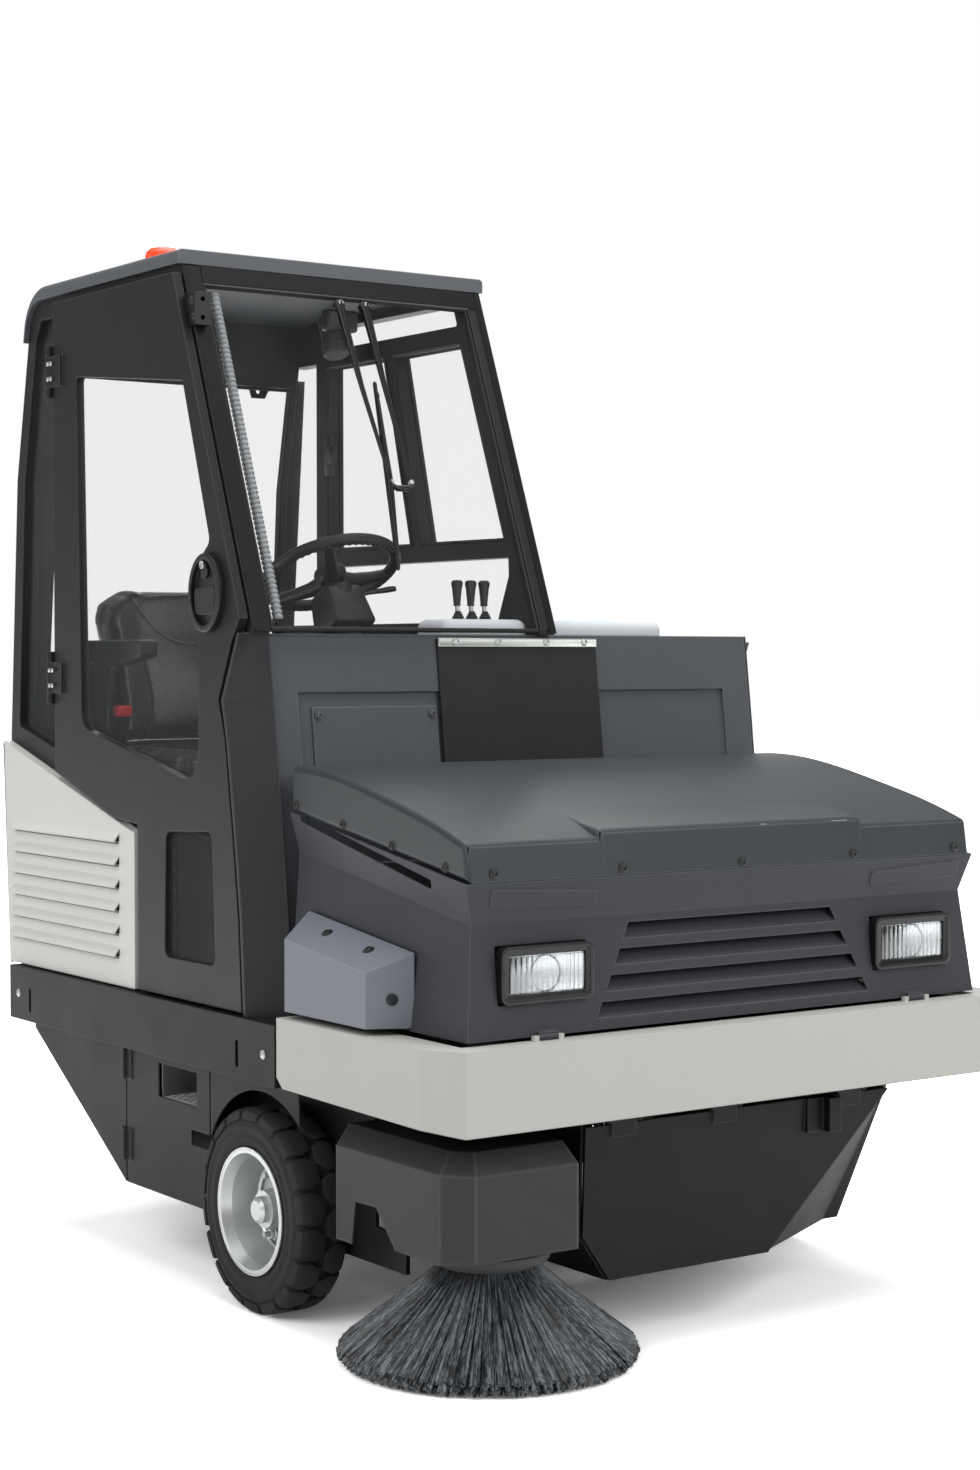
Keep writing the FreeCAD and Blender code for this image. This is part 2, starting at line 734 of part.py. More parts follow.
def cab_rear_wall():
    """Rear wall between the side frames, with its window and the tab above it."""
    inner = -cab_right + cab_wall
    left = cab_left - cab_wall
    foot = 1064
    back = [(rear_x(foot), foot)] + rear_band(0, rear_low, cab_top)
    front = [(rear_x(foot) + rear_wall_depth, foot)] + rear_band(rear_wall_depth, rear_low, cab_top)
    outline = cab_outline()
    wall = side_plate(back + front[::-1], inner, left)
    wall = wall.common(side_plate(outline, inner, left, frame_radii(len(outline))))
    opening = block(-1200, -900, inner + rear_window_right, left - rear_window_left, rear_window_bottom,
                    rear_window_top)
    top_x = rear_line(rear_window_top) + 14 + glass_thickness + 3
    tab = front_plate([(-100, rear_window_top + 5), (-35, rear_window_top + 5), (-53, 1957), (-89, 1957)],
                      top_x, top_x + 5)
    hole = rod(V(top_x - 10, -72, 1974), V(top_x + 20, -72, 1974), 6)
    return fuse([wall.cut(opening), tab]).cut(hole)


beacon_x = -600.0
beacon_y = 126.0 - cab_right
beacon_foot = 48.0
beacon_pad = 3.0


def cab_roof():
    """Roof panel with the header over the windscreen and the beacon's round pad."""
    front = screen_x(cab_top) + 4
    top = cab_top + roof_thickness
    low = cab_top - 90
    outline = [(front, cab_top), (front, top), (rear_line(top) - roof_rear_sheet, top),
               (rear_line(low) - roof_rear_sheet, low), (rear_line(low) - 0.3, low),
               (rear_line(cab_top) - 0.3, cab_top)]
    slab = side_plate(outline, -cab_right - 12, cab_left + 8, [0, 0, roof_bend, 0, 0, roof_bend - roof_thickness])
    skin = [e for e in slab.Edges if e.BoundBox.YLength < 1 and e.BoundBox.ZMax > low + 20
            and (e.BoundBox.ZMin > top - 1 or e.BoundBox.XMin < rear_line(low) - 3)]
    slab = slab.makeFillet(10, skin)
    inner = -cab_right + cab_wall
    low = cab_top - 42
    header = side_plate([(screen_x(cab_top), cab_top), (screen_x(low), low), (screen_x(low) - 40, low),
                         (screen_x(cab_top) - 40, cab_top)], inner, cab_left - cab_wall)
    pad = Part.makeCylinder(beacon_foot + 2, beacon_pad + 1, V(beacon_x, beacon_y, cab_top + roof_thickness - 1))
    return fuse([slab, header, pad])


def windscreen():
    """Flat pane between the front pillars."""
    top = cab_top - 42
    foot = dash_top
    inset = 12
    return side_plate([(screen_x(top) - inset, top), (screen_x(foot) - inset, foot),
                       (screen_x(foot) - inset - glass_thickness, foot),
                       (screen_x(top) - inset - glass_thickness, top)],
                      -cab_right + cab_wall, cab_left - cab_wall)


def cab_panes():
    """Fixed panes of the quarter window, left windows and rear window."""
    middle = -cab_right + cab_wall / 2
    quarter = side_plate(quarter_window, middle, middle + glass_thickness, quarter_round)
    left_middle = cab_left - cab_wall / 2
    left = [side_plate(window, left_middle, left_middle + glass_thickness, 5) for window in left_windows()]
    outer = rear_band(14, rear_window_bottom, rear_window_top)
    inner = rear_band(14 + glass_thickness, rear_window_bottom, rear_window_top)
    rear = side_plate(outer + inner[::-1], -cab_right + cab_wall + rear_window_right,
                      cab_left - cab_wall - rear_window_left)
    return together([quarter, rear] + left)


def seat_base():
    return block(-900, -480, seat_middle - 250, seat_middle + 250, floor_top, 1000)


def seat_cushion():
    solid = block(-900, -420, seat_middle - 235, seat_middle + 235, 1000.3, 1110)
    return solid.makeFillet(30, [e for e in solid.Edges if e.BoundBox.ZMin > 1050])


def seat_back():
    solid = side_plate([(-815, 1110.3), (-925, 1500), (-1000, 1500), (-905, 1110.3)],
                       seat_middle - 245, seat_middle + 245)
    return solid.makeFillet(30, [e for e in solid.Edges if e.BoundBox.ZMin > 1490])


def armrest():
    outer = seat_middle - 300
    inner = seat_middle - 253
    rest = block(-935, -580, outer, inner, 1326, 1360)
    rest = rest.makeFillet(9, [e for e in rest.Edges if e.BoundBox.XLength > 300])
    post = side_plate([(-925, 1340), (-890, 1340), (-860, 900), (-895, 900)], outer + 3, inner)
    link = block(-890, -862, inner, seat_middle - 250, 910, 990)
    return fuse([rest, post, link])


wheel_centre = V(-295, seat_middle + 15, 1505)
wheel_lean = 28.0


def steering_axis():
    return V(-math.sin(math.radians(wheel_lean)), 0, math.cos(math.radians(wheel_lean)))


def steering_column():
    """Column from the floor to below the steering wheel."""
    axis = steering_axis()
    top = wheel_centre - axis * 40
    foot = wheel_centre - axis * 400
    column = rod(foot, top, 30)
    leg = block(-130, -80, foot.y - 30, foot.y + 30, floor_top, foot.z + 10)
    housing = block(foot.x - 40, foot.x + 40, foot.y - 35, foot.y + 35, foot.z - 10, foot.z + 60)
    return fuse([column, leg, housing])


def steering_wheel():
    """Rim with three spokes and a hub."""
    section = [(147 + 13 * math.cos(math.radians(a)), 13 * math.sin(math.radians(a))) for a in range(0, 360, 45)]
    ring = revolved(section, V(0, 0, 0), UP)
    hub = Part.makeCylinder(32, 30, V(0, 0, -22))
    spokes = []
    for angle in (90, 210, 330):
        a = math.radians(angle)
        spokes.append(rod(V(20 * math.cos(a), 20 * math.sin(a), -8), V(140 * math.cos(a), 140 * math.sin(a), 0), 9))
    shaft = Part.makeCylinder(12, 18, V(0, 0, -39.7))
    solid = fuse([ring, hub, shaft] + spokes)
    solid.Placement = FreeCAD.Placement(wheel_centre, FreeCAD.Rotation(UP, steering_axis()))
    return solid


def wiper():
    """Parallel wiper arms with a blade on the windscreen."""
    def on_screen(y, z, lift):
        return V(screen_x(z) - 12 + lift, y, z)
    arm = rod(on_screen(-293, 2080, 14), on_screen(-285, 1690, 14), 5)
    second = rod(on_screen(-246, 2083, 14), on_screen(-240, 1695, 14), 4)
    link = rod(on_screen(-290, 1690, 14), on_screen(-235, 1695, 14), 6)
    blade = rod(on_screen(-262, 1500, 8), on_screen(-262, 1900, 8), 6)
    pin = rod(on_screen(-262, 1690, 8), on_screen(-262, 1690, 16), 5)
    bosses = [rod(on_screen(y, 2081, 4), on_screen(y, 2081, 20), 9) for y in (-293, -246)]
    return fuse([arm, second, link, blade, pin] + bosses)


def beacon():
    """Warning lamp on a low foot on the roof."""
    base = cab_top + roof_thickness + beacon_pad
    foot = Part.makeCylinder(beacon_foot, 13, V(beacon_x, beacon_y, base))
    lens = Part.makeCone(42, 34, 40, V(beacon_x, beacon_y, base + 13))
    return fuse([foot, lens])


mirror_bracket_z = 2040.0
mirror_bracket_y = -cab_right + 8
mirror_bracket_half = 34.0


def mirror_holes():
    """The two bolt holes of the mirror arm, through the bracket and into the pillar."""
    front = screen_x(mirror_bracket_z - mirror_bracket_half) + 22
    return [rod(V(front - 160, mirror_bracket_y, mirror_bracket_z + dz),
                V(front + 1, mirror_bracket_y, mirror_bracket_z + dz), 5.5) for dz in (-19, 19)]


def mirror_bracket():
    """Block at the top of the right front pillar with two holes for a mirror arm."""
    low = mirror_bracket_z - mirror_bracket_half
    high = mirror_bracket_z + mirror_bracket_half
    front = screen_x(low) + 22
    solid = side_plate([(screen_x(low), low), (front, low), (front, high), (screen_x(high), high)],
                       mirror_bracket_y - 18, mirror_bracket_y + 18)
    return cut(solid, mirror_holes())


# Cab door



main_window = [(-733, 1944), (-236, 1892), (-122, 1556), (-168, 1520), (-192, 1452), (-172, 1350), (-172, 1056),
               (-712, 1166)]
main_window_radii = [12, 8, 20, 25, 30, 30, 60, 45]
lower_window = [(-317, 956), (-118, 966), (-103, 692), (-324, 691)]


def door_panel():
    """Door as one full-height frame around two panes."""
    plate = side_plate(door_outline(), -door_outer, -door_outer + door_thickness)
    beyond_door = (-door_outer - 10, -door_outer + door_thickness + 10)
    main = side_plate(main_window, *beyond_door, main_window_radii)
    lower = side_plate(lower_window, *beyond_door, 20)
    return cut(plate, [main, lower])


def door_panes():
    """Panes set in the door's frame."""
    middle = -door_outer + door_thickness / 2
    main = side_plate(main_window, middle, middle + glass_thickness, main_window_radii)
    lower = side_plate(lower_window, middle, middle + glass_thickness, 20)
    return together([main, lower])


def door_hinges():
    """Leaves with knuckles at the rear post."""
    pieces = []
    for z in door_hinge_heights:
        knuckle = rod(V(hinge_x, hinge_y, z), V(hinge_x, hinge_y, z + hinge_length), 8)
        leaf = block(hinge_x, hinge_x + 60, -door_outer - 7, -door_outer, z, z + hinge_length)
        pieces.append(fuse([knuckle, leaf]))
    return together(pieces)


handle_x = -124.0
handle_z = 1452.0
handle_half_width = 65.0
handle_half_height = 81.0
handle_height = 16.0


def door_oval(half_width, half_height, start, end):
    """An oval that stands out from the door between two heights above its skin."""
    outline = Part.Ellipse(V(0, 0, 0), half_height, half_width).toShape()
    oval = Part.Face(Part.Wire([outline])).extrude(V(0, 0, end - start))
    oval.Placement = FreeCAD.Placement(V(handle_x, -door_outer - start, handle_z),
                                       FreeCAD.Rotation(V(0, 0, 1), V(1, 0, 0), V(0, -1, 0), "ZXY"))
    return oval


def door_handle():
    """Oval bezel with its recess, pull paddle and round lock."""
    bezel = door_oval(handle_half_width, handle_half_height, 0, handle_height)
    lip = [e for e in bezel.Edges if e.BoundBox.YMax < -door_outer - handle_height + 1]
    bezel = bezel.makeFillet(5, lip)
    bezel = bezel.cut(door_oval(handle_half_width - 13, handle_half_height - 13, 4, handle_height + 1))
    paddle = side_plate([(handle_x - 44, handle_z + 8), (handle_x + 44, handle_z + 14), (handle_x + 36, handle_z - 44),
                         (handle_x - 38, handle_z - 44)], -door_outer - 12, -door_outer - 2, 10)
    lock = rod(V(handle_x, -door_outer - 2, handle_z + 42), V(handle_x, -door_outer - 13, handle_z + 42), 13)
    return fuse([bezel, paddle, lock])


# Front assembly that lifts

arm_end_x = arm_pivot_x + arm_length * math.cos(math.radians(arm_droop))
arm_end_z = arm_pivot_z - arm_length * math.sin(math.radians(arm_droop))
eye_x = arm_pivot_x + cylinder_reach * math.cos(math.radians(arm_droop))
eye_z = arm_pivot_z - cylinder_reach * math.sin(math.radians(arm_droop))


def lift_arms():
    """Two arms on one torque tube."""
    pieces = []
    for sign in (-1, 1):
        y0 = sign * arm_middle - arm_thickness / 2
        y1 = sign * arm_middle + arm_thickness / 2
        half = arm_height / 2
        bar = side_plate([(arm_pivot_x, arm_pivot_z - half), (arm_pivot_x + arm_length, arm_pivot_z - half + 8),
                          (arm_pivot_x + arm_length, arm_pivot_z + half - 8), (arm_pivot_x, arm_pivot_z + half)],
                         y0, y1)
        eyes = [rod(V(arm_pivot_x, y0, arm_pivot_z), V(arm_pivot_x, y1, arm_pivot_z), half),
                rod(V(arm_pivot_x + arm_length, y0, arm_pivot_z), V(arm_pivot_x + arm_length, y1, arm_pivot_z),
                    half - 8)]
        arm = fuse([bar] + eyes)
        arm = arm.cut(rod(V(arm_pivot_x, y0 - 1, arm_pivot_z), V(arm_pivot_x, y1 + 1, arm_pivot_z),
                          14 + bearing_clearance))
        arm = arm.cut(rod(V(arm_pivot_x + arm_length, y0 - 1, arm_pivot_z),
                          V(arm_pivot_x + arm_length, y1 + 1, arm_pivot_z), 12 + bearing_clearance))
        pieces.append(turned(arm, V(arm_pivot_x, 0, arm_pivot_z), LEFT, arm_droop))
    inner = arm_middle - arm_thickness / 2
    torque = rod(V(arm_pivot_x, -inner, arm_pivot_z), V(arm_pivot_x, inner, arm_pivot_z), 24)
    bore = rod(V(arm_pivot_x, -inner - 1, arm_pivot_z), V(arm_pivot_x, inner + 1, arm_pivot_z), 18)
    return fuse(pieces + [torque.cut(bore)])


def hopper_frame():
    """Frame that joins the bin, the bumper and the hood's hinges."""
    low = 560.0
    high = bumper_top - 6.0
    rail = bumper_outer - 97
    rail_half = 27
    reach = rail - rail_half + 4
    rails = [block(200, 736, sign * rail - rail_half, sign * rail + rail_half, low, high) for sign in (-1, 1)]
    cross = block(700, 736, -reach, reach, low, high)
    ties = [block(600, 640, min(sign * bin_half_width, sign * reach), max(sign * bin_half_width, sign * reach),
                  low, bin_top) for sign in (-1, 1)]
    front_ties = [block(654, 700, y - 20, y + 20, low, bin_top) for y in (-300, 300)]
    return fuse(rails + [cross] + ties + front_ties)


discharge_hinge_x = 664.0
discharge_hinge_z = 452.0
discharge_hinges = (-250, 0, 330)


def bin_section(inset):
    """Section of the bin in Y and Z, drawn in by its wall."""
    bottom = bin_bottom + inset
    return [(-bin_foot + inset * 0.8, bottom), (-bin_right + inset, bin_knee), (-bin_right + inset, bin_step + inset),
            (-bin_half_width + inset, bin_step + inset), (-bin_half_width + inset, bin_top),
            (bin_half_width - inset, bin_top), (bin_half_width - inset, bottom)]


def front_lean(z):
    """Place of the bin's front wall at a height."""
    return bin_front + (z - bin_bottom) * 0.045


facet_bottom = V(640, 127, 139)
facet_foot = V(490, 420, 140)
facet_top = V(654, 449, 453)


def facet_side(inset):
    """The space in front of the bin's oblique lower left facet, drawn in by its wall."""
    normal = (facet_foot - facet_bottom).cross(facet_top - facet_bottom).normalize()
    if normal.x < 0:
        normal = normal * -1
    return beyond(facet_bottom - normal * inset, normal)


def hopper_bin():
    """Open-topped bin with its throat at the rear and its mouth behind the discharge door."""
    outer = front_plate(bin_section(0), bin_rear, 680).cut(facet_side(0))
    inner = front_plate(bin_section(bin_sheet), bin_rear + bin_sheet, 700)
    inner = inner.fuse(block(bin_rear + bin_sheet, 700, -bin_half_width + bin_sheet, bin_half_width - bin_sheet,
                             bin_top - 40, bin_top + 5)).cut(facet_side(bin_sheet))
    shell = outer.cut(inner)
    ahead = side_plate([(front_lean(100), 100), (front_lean(700), 700), (900, 700), (900, 100)], -700, 700)
    shell = shell.cut(ahead)
    flange = prism([facet_foot, facet_foot + V(0, 40, 0), facet_top - V(1, 1, 3)], V(-6, 0, 0))
    throat = block(bin_rear - 10, bin_rear + 10, -280, 400, bin_bottom + 20, 420)
    shell = shell.cut(throat)
    apron = front_plate([(-bin_right + 1, 462), (bin_half_width - bin_sheet, 462), (bin_half_width - bin_sheet, bin_top),
                         (-bin_half_width + bin_sheet, bin_top), (-bin_half_width + bin_sheet, bin_step + 1),
                         (-bin_right + 1, bin_step + 1)], 646, 651)
    bosses = []
    for y in discharge_hinges:
        for side in (-35, 35):
            bosses.append(block(650, discharge_hinge_x + 7, y + side - 4, y + side + 4, discharge_hinge_z - 8, 480))
        bosses.append(rod(V(discharge_hinge_x, y - 36, discharge_hinge_z), V(discharge_hinge_x, y + 36,
                                                                           discharge_hinge_z), 4))
    for sign in (-1, 1):
        inner_face = sign * bin_half_width
        end = sign * (arm_middle + arm_thickness / 2)
        bosses.append(rod(V(arm_end_x, inner_face, arm_end_z), V(arm_end_x, end, arm_end_z), 12))
        bosses.append(rod(V(arm_end_x, inner_face, arm_end_z),
                          V(arm_end_x, sign * (arm_middle - arm_thickness / 2 - 3), arm_end_z), 26))
    return fuse([shell, apron, flange] + bosses)




def hopper_door():
    """Discharge door hung below the bumper."""
    bottom = bin_bottom
    x = front_lean(bottom) + 1.5
    top = 440.0
    lean = front_lean(top) - front_lean(bottom)
    right = -bin_right + 4
    outline = [(-bin_foot + 5, bottom), (right, bin_knee), (right, top), (438, top), (438, 436), (127, bottom)]
    plate = prism([V(x + (z - bottom) * lean / (top - bottom), y, z) for y, z in outline], V(7, 0, 0))
    knuckles = []
    for y in discharge_hinges:
        knuckles.append(rod(V(discharge_hinge_x, y - 30, discharge_hinge_z),
                            V(discharge_hinge_x, y + 30, discharge_hinge_z), 6))
        knuckles.append(side_plate([(discharge_hinge_x - 5, discharge_hinge_z), (discharge_hinge_x + 5,
                                    discharge_hinge_z), (front_lean(415) + 12, 415), (front_lean(415) + 5, 415)],
                                   y - 30, y + 30))
    face = front_lean(408) + 7
    bracket = [block(face, face + 10, 213, 285, 372, 440), block(face, 690, 254, 285, 372, 440)]
    return fuse([plate] + knuckles + bracket).cut(rod(V(discharge_hinge_x, -400, discharge_hinge_z),
                                            V(discharge_hinge_x, 400, discharge_hinge_z), 4 + bearing_clearance))


def bumper_plan(inset):
    """Plan of the bumper's outer face, drawn in."""
    side = bumper_outer - inset
    front = bumper_front - inset
    corner = bumper_outer - 50 - inset * 0.4
    return [(bumper_rear, -side), (675 - inset * 0.4, -side + 5), (front, -corner),
            (front, corner), (675 - inset * 0.4, side - 5), (bumper_rear, side)]


hood_hinge_y = 465.0


def bumper():
    """Bumper skin with its top ledge."""
    wall = 6.0
    ledge = 78.0
    low = bumper_bottom - 10
    outer = flat_plate(bumper_plan(0), low, bumper_top)
    inner = flat_plate([(bumper_rear - 1, -bumper_outer + wall)] + bumper_plan(wall)[1:-1]
                       + [(bumper_rear - 1, bumper_outer - wall)], low - 1, bumper_top - wall)
    core = flat_plate([(bumper_rear - 1, -bumper_outer + ledge), (700, -bumper_outer + ledge),
                       (700, bumper_outer - ledge), (bumper_rear - 1, bumper_outer - ledge)], low - 1, bumper_top + 1)
    rise = side_plate([(bumper_rear - 1, low - 1), (bumper_front + 1, low - 1), (bumper_front + 1, low),
                       (675, bumper_bottom), (bumper_rear + 22, 487), (bumper_rear, 507), (bumper_rear - 1, 507)],
                      -bumper_outer - 10, bumper_outer + 10)
    lugs = [block(709, 718, y - 6, y + 6, bumper_top - 3, bumper_top + 10)
            for side in (-1, 1) for y in (side * hood_hinge_y - 28.3, side * hood_hinge_y + 28.3)]
    return fuse([cut(outer, [inner, core, rise])] + lugs)


def hood_section(z_front, x_front, half):
    """Hood outline on a plane that rises to the rear."""
    rise = (x_front - hood_rear) * hood_slope
    return [V(hood_rear, -half, z_front + rise), V(x_front, -half, z_front), V(x_front, half, z_front),
            V(hood_rear, half, z_front + rise)]


def hood_block(inset):
    """Outer form of the hood shell, drawn in by its sheet."""
    low = [V(hood_rear, -hood_half_width + inset, hood_bottom - inset * 2),
           V(hood_front - inset, -hood_half_width + inset, hood_bottom - inset * 2),
           V(hood_front - inset, hood_half_width - inset, hood_bottom - inset * 2),
           V(hood_rear, hood_half_width - inset, hood_bottom - inset * 2)]
    fold = hood_section(hood_fold_height, 683 - inset, 616 - inset)
    flange = hood_section(hood_flange_height + inset, 701 - inset, hood_half_width - inset)
    lower = loft([low, fold])
    upper = loft([fold, flange])
    return lower.fuse(upper)


grille_rows = 4
grille_top = 823.5
grille_pitch = 47.8
grille_height = 30.0
grille_half = 256.0
grille_spread = 24.5
grille_depth = 26.0


def hood_face(z):
    """Front face of the hood below its fold at a height."""
    return hood_front - (z - hood_bottom) * (hood_front - 683) / (hood_fold_height - hood_bottom)


def grille_outline(row, grow=0.0):
    """Outline of one grille opening, which widens downwards."""
    top = grille_top - grille_pitch * row
    half = grille_half + grille_spread * row
    return [(-half - grow, top + grow), (half + grow, top + grow), (half + 15 + grow, top - grille_height - grow),
            (-half - 15 - grow, top - grille_height - grow)]


def grille_blade(row):
    """Blade that slopes from behind an opening's top edge out to its bottom edge."""
    top = grille_top - grille_pitch * row
    bottom = top - grille_height
    blade = side_plate([(hood_face(bottom), bottom - 1), (hood_face(bottom) - 3, bottom - 3),
                        (hood_face(top) - grille_depth, top - 6), (hood_face(top) - grille_depth, top - 3),
                        (hood_face(bottom) - 2, bottom + 2), (hood_face(bottom), bottom + 1)],
                       -400, 400)
    return blade.common(front_plate(grille_outline(row, 4), 600, 760))


side_slot = [(124, 996), (574, 896), (581, 914), (124, 1016)]
pressed_fields = ([(-581, 869), (-338, 859), (-338, 889), (-581, 902)], [(358, 859), (599, 869), (599, 902), (358, 889)])


def headlamp_box(sign, grow, x0, x1):
    """A box on the seat of one headlamp."""
    y0, y1 = sorted((sign * (359 - grow), sign * (567 + grow)))
    return block(x0, x1, y0, y1, 691 - grow, 798 + grow)


def hood_shell():
    """Folded sheet hood, open below and behind."""
    inner = hood_block(hood_sheet)
    inner = inner.fuse(block(hood_rear - 20, hood_rear + 1, -612, 612, 600, 1000))
    shell = hood_block(0).cut(inner)
    lamps = [headlamp_box(sign, 0.3, 600, 760) for sign in (-1, 1)]
    grille = [front_plate(grille_outline(row), 600, 760) for row in range(grille_rows)]
    blades = [grille_blade(row) for row in range(grille_rows)]
    shell = cut(shell, grille + lamps + [side_plate(side_slot, -700, 700, 6)])
    raised = hood_block(-3).cut(hood_block(1))
    fields = [raised.common(front_plate(field, 640, 760, 8)) for field in pressed_fields]
    hinges = [block(700, 716, y - 22, y + 22, hood_bottom - 2, hood_bottom + 10) for y in (-hood_hinge_y, hood_hinge_y)]
    pins = [rod(V(713, y - 22, 629), V(713, y + 22, 629), 5) for y in (-hood_hinge_y, hood_hinge_y)]
    return fuse([shell] + hinges + pins + blades + fields)


cover_round = 12.0


def hood_cover():
    """Moulded lid on the hood with a raised middle."""
    def body(half, rise, drop):
        line = [V(91, -half, 1105), V(278, -half, 1089), V(427, -half, 1058), V(569, -half, 1024),
                V(690, -half, 985 + rise)]
        top = Part.BSplineCurve()
        top.interpolate([V(p.x, p.y, p.z - drop) for p in line])
        start = V(91, -half, 1105 - drop)
        end = V(690, -half, 985 + rise - drop)
        x0 = 91.0
        low = hood_flange_height + 1 - 2 * drop
        flange_rear = low + (701 - x0) * hood_slope
        edges = [
            top.toShape(),
            Part.LineSegment(end, V(701 - drop, -half, low)).toShape(),
            Part.LineSegment(V(701 - drop, -half, low), V(x0, -half, flange_rear)).toShape(),
            Part.LineSegment(V(x0, -half, flange_rear), start).toShape(),
        ]
        return Part.Face(Part.Wire(edges)).extrude(V(0, 2 * half, 0))

    def softened(solid, radius):
        return solid.makeFillet(radius, [e for e in solid.Edges if e.BoundBox.ZMax > 960 and e.BoundBox.XMax > 640])
    wall = 5.0
    outer = softened(body(632, 0, 0), cover_round).fuse(softened(body(334, 16, 0), cover_round))
    inner = body(632 - wall, 0, wall).fuse(body(334 - wall, 16, wall))
    return outer.cut(inner).removeSplitter()


def headlamps():
    """Black bezels around the lamps."""
    lamps = []
    for sign in (-1, 1):
        bezel = headlamp_box(sign, 0, 690, 712)
        lamps.append(bezel.cut(headlamp_box(sign, -18, 680, 720)).fuse(headlamp_box(sign, -10, 690, 694)))
    return together(lamps)


def headlamp_lenses():
    """Clear lenses in the bezels."""
    return together([headlamp_box(sign, -18.3, 700, 708) for sign in (-1, 1)])


def side_box():
    """Moulded cover on the right side of the hood."""
    plan = [(150, -632), (525, -632), (485, -715), (195, -715)]
    solid = flat_plate(plan, hood_bottom + 6, 840).cut(hood_block(0))
    origin = V(150, -632, 823)
    along = V(525, -632, 775) - origin
    across = V(340, -715, 758) - origin
    normal = along.cross(across).normalize()
    if normal.z < 0:
        normal = normal * -1
    return solid.cut(beyond(origin, normal))


# Lift cylinders

cylinder_angle = math.atan2(eye_z - cylinder_foot_z, eye_x - cylinder_foot_x)
cylinder_axis = V(math.cos(cylinder_angle), 0, math.sin(cylinder_angle))
cylinder_span = math.hypot(eye_z - cylinder_foot_z, eye_x - cylinder_foot_x)


def lift_barrel(sign):
    foot = V(cylinder_foot_x, sign * cylinder_middle, cylinder_foot_z)
    start = foot + cylinder_axis * 24
    barrel = rod(start, foot + cylinder_axis * barrel_length, barrel_radius)
    barrel = barrel.cut(rod(start + cylinder_axis * 10, foot + cylinder_axis * (barrel_length + 1), rod_radius + 0.5))
    eye = rod(foot - LEFT * 11, foot + LEFT * 11, 20)
    neck = rod(foot, start + cylinder_axis * 5, 12)
    pin = rod(foot - LEFT * 20, foot + LEFT * 20, 9 + bearing_clearance)
    return fuse([barrel, eye, neck]).cut(pin)


def lift_rod(sign):
    foot = V(cylinder_foot_x, sign * cylinder_middle, cylinder_foot_z)
    eye_centre = foot + cylinder_axis * cylinder_span
    shaft = rod(foot + cylinder_axis * 60, eye_centre - cylinder_axis * 10, rod_radius)
    eye = rod(eye_centre - LEFT * 10, eye_centre + LEFT * 10, 17)
    return fuse([shaft, eye]).cut(rod(eye_centre - LEFT * 20, eye_centre + LEFT * 20, 9))


# Side brush

def brush_arm():
    """Arm from the chassis pin to the brush motor."""
    z = brush_arm_pivot_z
    sleeve = tube(V(brush_arm_pivot_x, -516, z), V(brush_arm_pivot_x, -432, z), 22, 12 + bearing_clearance)
    bar = flat_plate([(brush_arm_pivot_x + 10, -500), (brush_arm_pivot_x + 10, -446), (brush_x, -446),
                      (brush_x, -500)], z - 14, z + 14)
    bar = bar.cut(rod(V(brush_arm_pivot_x, -600, z), V(brush_arm_pivot_x, -400, z), 20))
    motor = Part.makeCylinder(46, 110, V(brush_x, brush_y, brush_motor_bottom))
    mast = block(430, 470, -490, -456, z + 14, 421)
    return fuse([sleeve, bar, motor, mast])


brush_cover_low = 226.0
brush_cover_tab = 205.0


def brush_cover():
    """Faceted sheet cover over the brush motor, with the tab and notch of its right wall."""
    def form(inset):
        plan = [(294, -660 + inset), (648, -660 + inset), (700 - inset, -615 + inset * 0.5),
                (700 - inset, -384 - inset), (294, -384 - inset)]
        top = [(294, -630 + inset), (636, -630 + inset), (672 - inset, -600 + inset * 0.5),
               (672 - inset, -400 - inset), (294, -400 - inset)]
        low = brush_cover_tab - 3 * inset
        wall = flat_plate(plan, low, 385)
        cap = loft([[V(x, y, 385) for x, y in plan], [V(x, y, 425 - inset) for x, y in top]])
        return wall.fuse(cap)
    inner = form(sheet).fuse(block(280, 296, -640, -392, 190, 410))
    hem = side_plate([(350, 190), (350, brush_cover_tab + 5), (362, 288), (435, 290), (495, 228), (500, 221),
                      (720, 221), (720, 190)], -700, -645)
    rest = block(280, 720, -645, -380, 190, brush_cover_low)
    return form(0).cut(inner).cut(hem).cut(rest)


def side_brush():
    """Brush plate with splayed tufts."""
    plate = revolved([(0, 0), (brush_plate_radius - 18, 0), (brush_plate_radius, 16), (brush_plate_radius, 28),
                      (70, 40), (0, 40)], V(brush_x, brush_y, 172), UP)
    shaft = Part.makeCylinder(16, brush_motor_bottom - 0.3 - 205, V(brush_x, brush_y, 205))
    tufts = []
    root_radius = brush_plate_radius - 22
    for i in range(tuft_count):
        def section(radius, z, wide, thick):
            return [V(radius - thick / 2, -wide / 2, z - thick / 3), V(radius + thick / 2, -wide / 2, z + thick / 3),
                    V(radius + thick / 2, wide / 2, z + thick / 3), V(radius - thick / 2, wide / 2, z - thick / 3)]
        def tip(radius, z, wide, thick):
            return [V(radius - thick, -wide / 2, z), V(radius, -wide / 2, z), V(radius, wide / 2, z),
                    V(radius - thick, wide / 2, z)]
        tuft = loft([section(root_radius, 179, 12, 14), section(205, 78, 24, 16),
                     tip(brush_tip_radius, brush_tip_height, 36, 16)])
        tuft = turned(tuft, V(0, 0, 0), UP, 360.0 * i / tuft_count)
        tuft.translate(V(brush_x, brush_y, 0))
        tufts.append(tuft)
    return plate.multiFuse([shaft] + tufts)


# Main brush

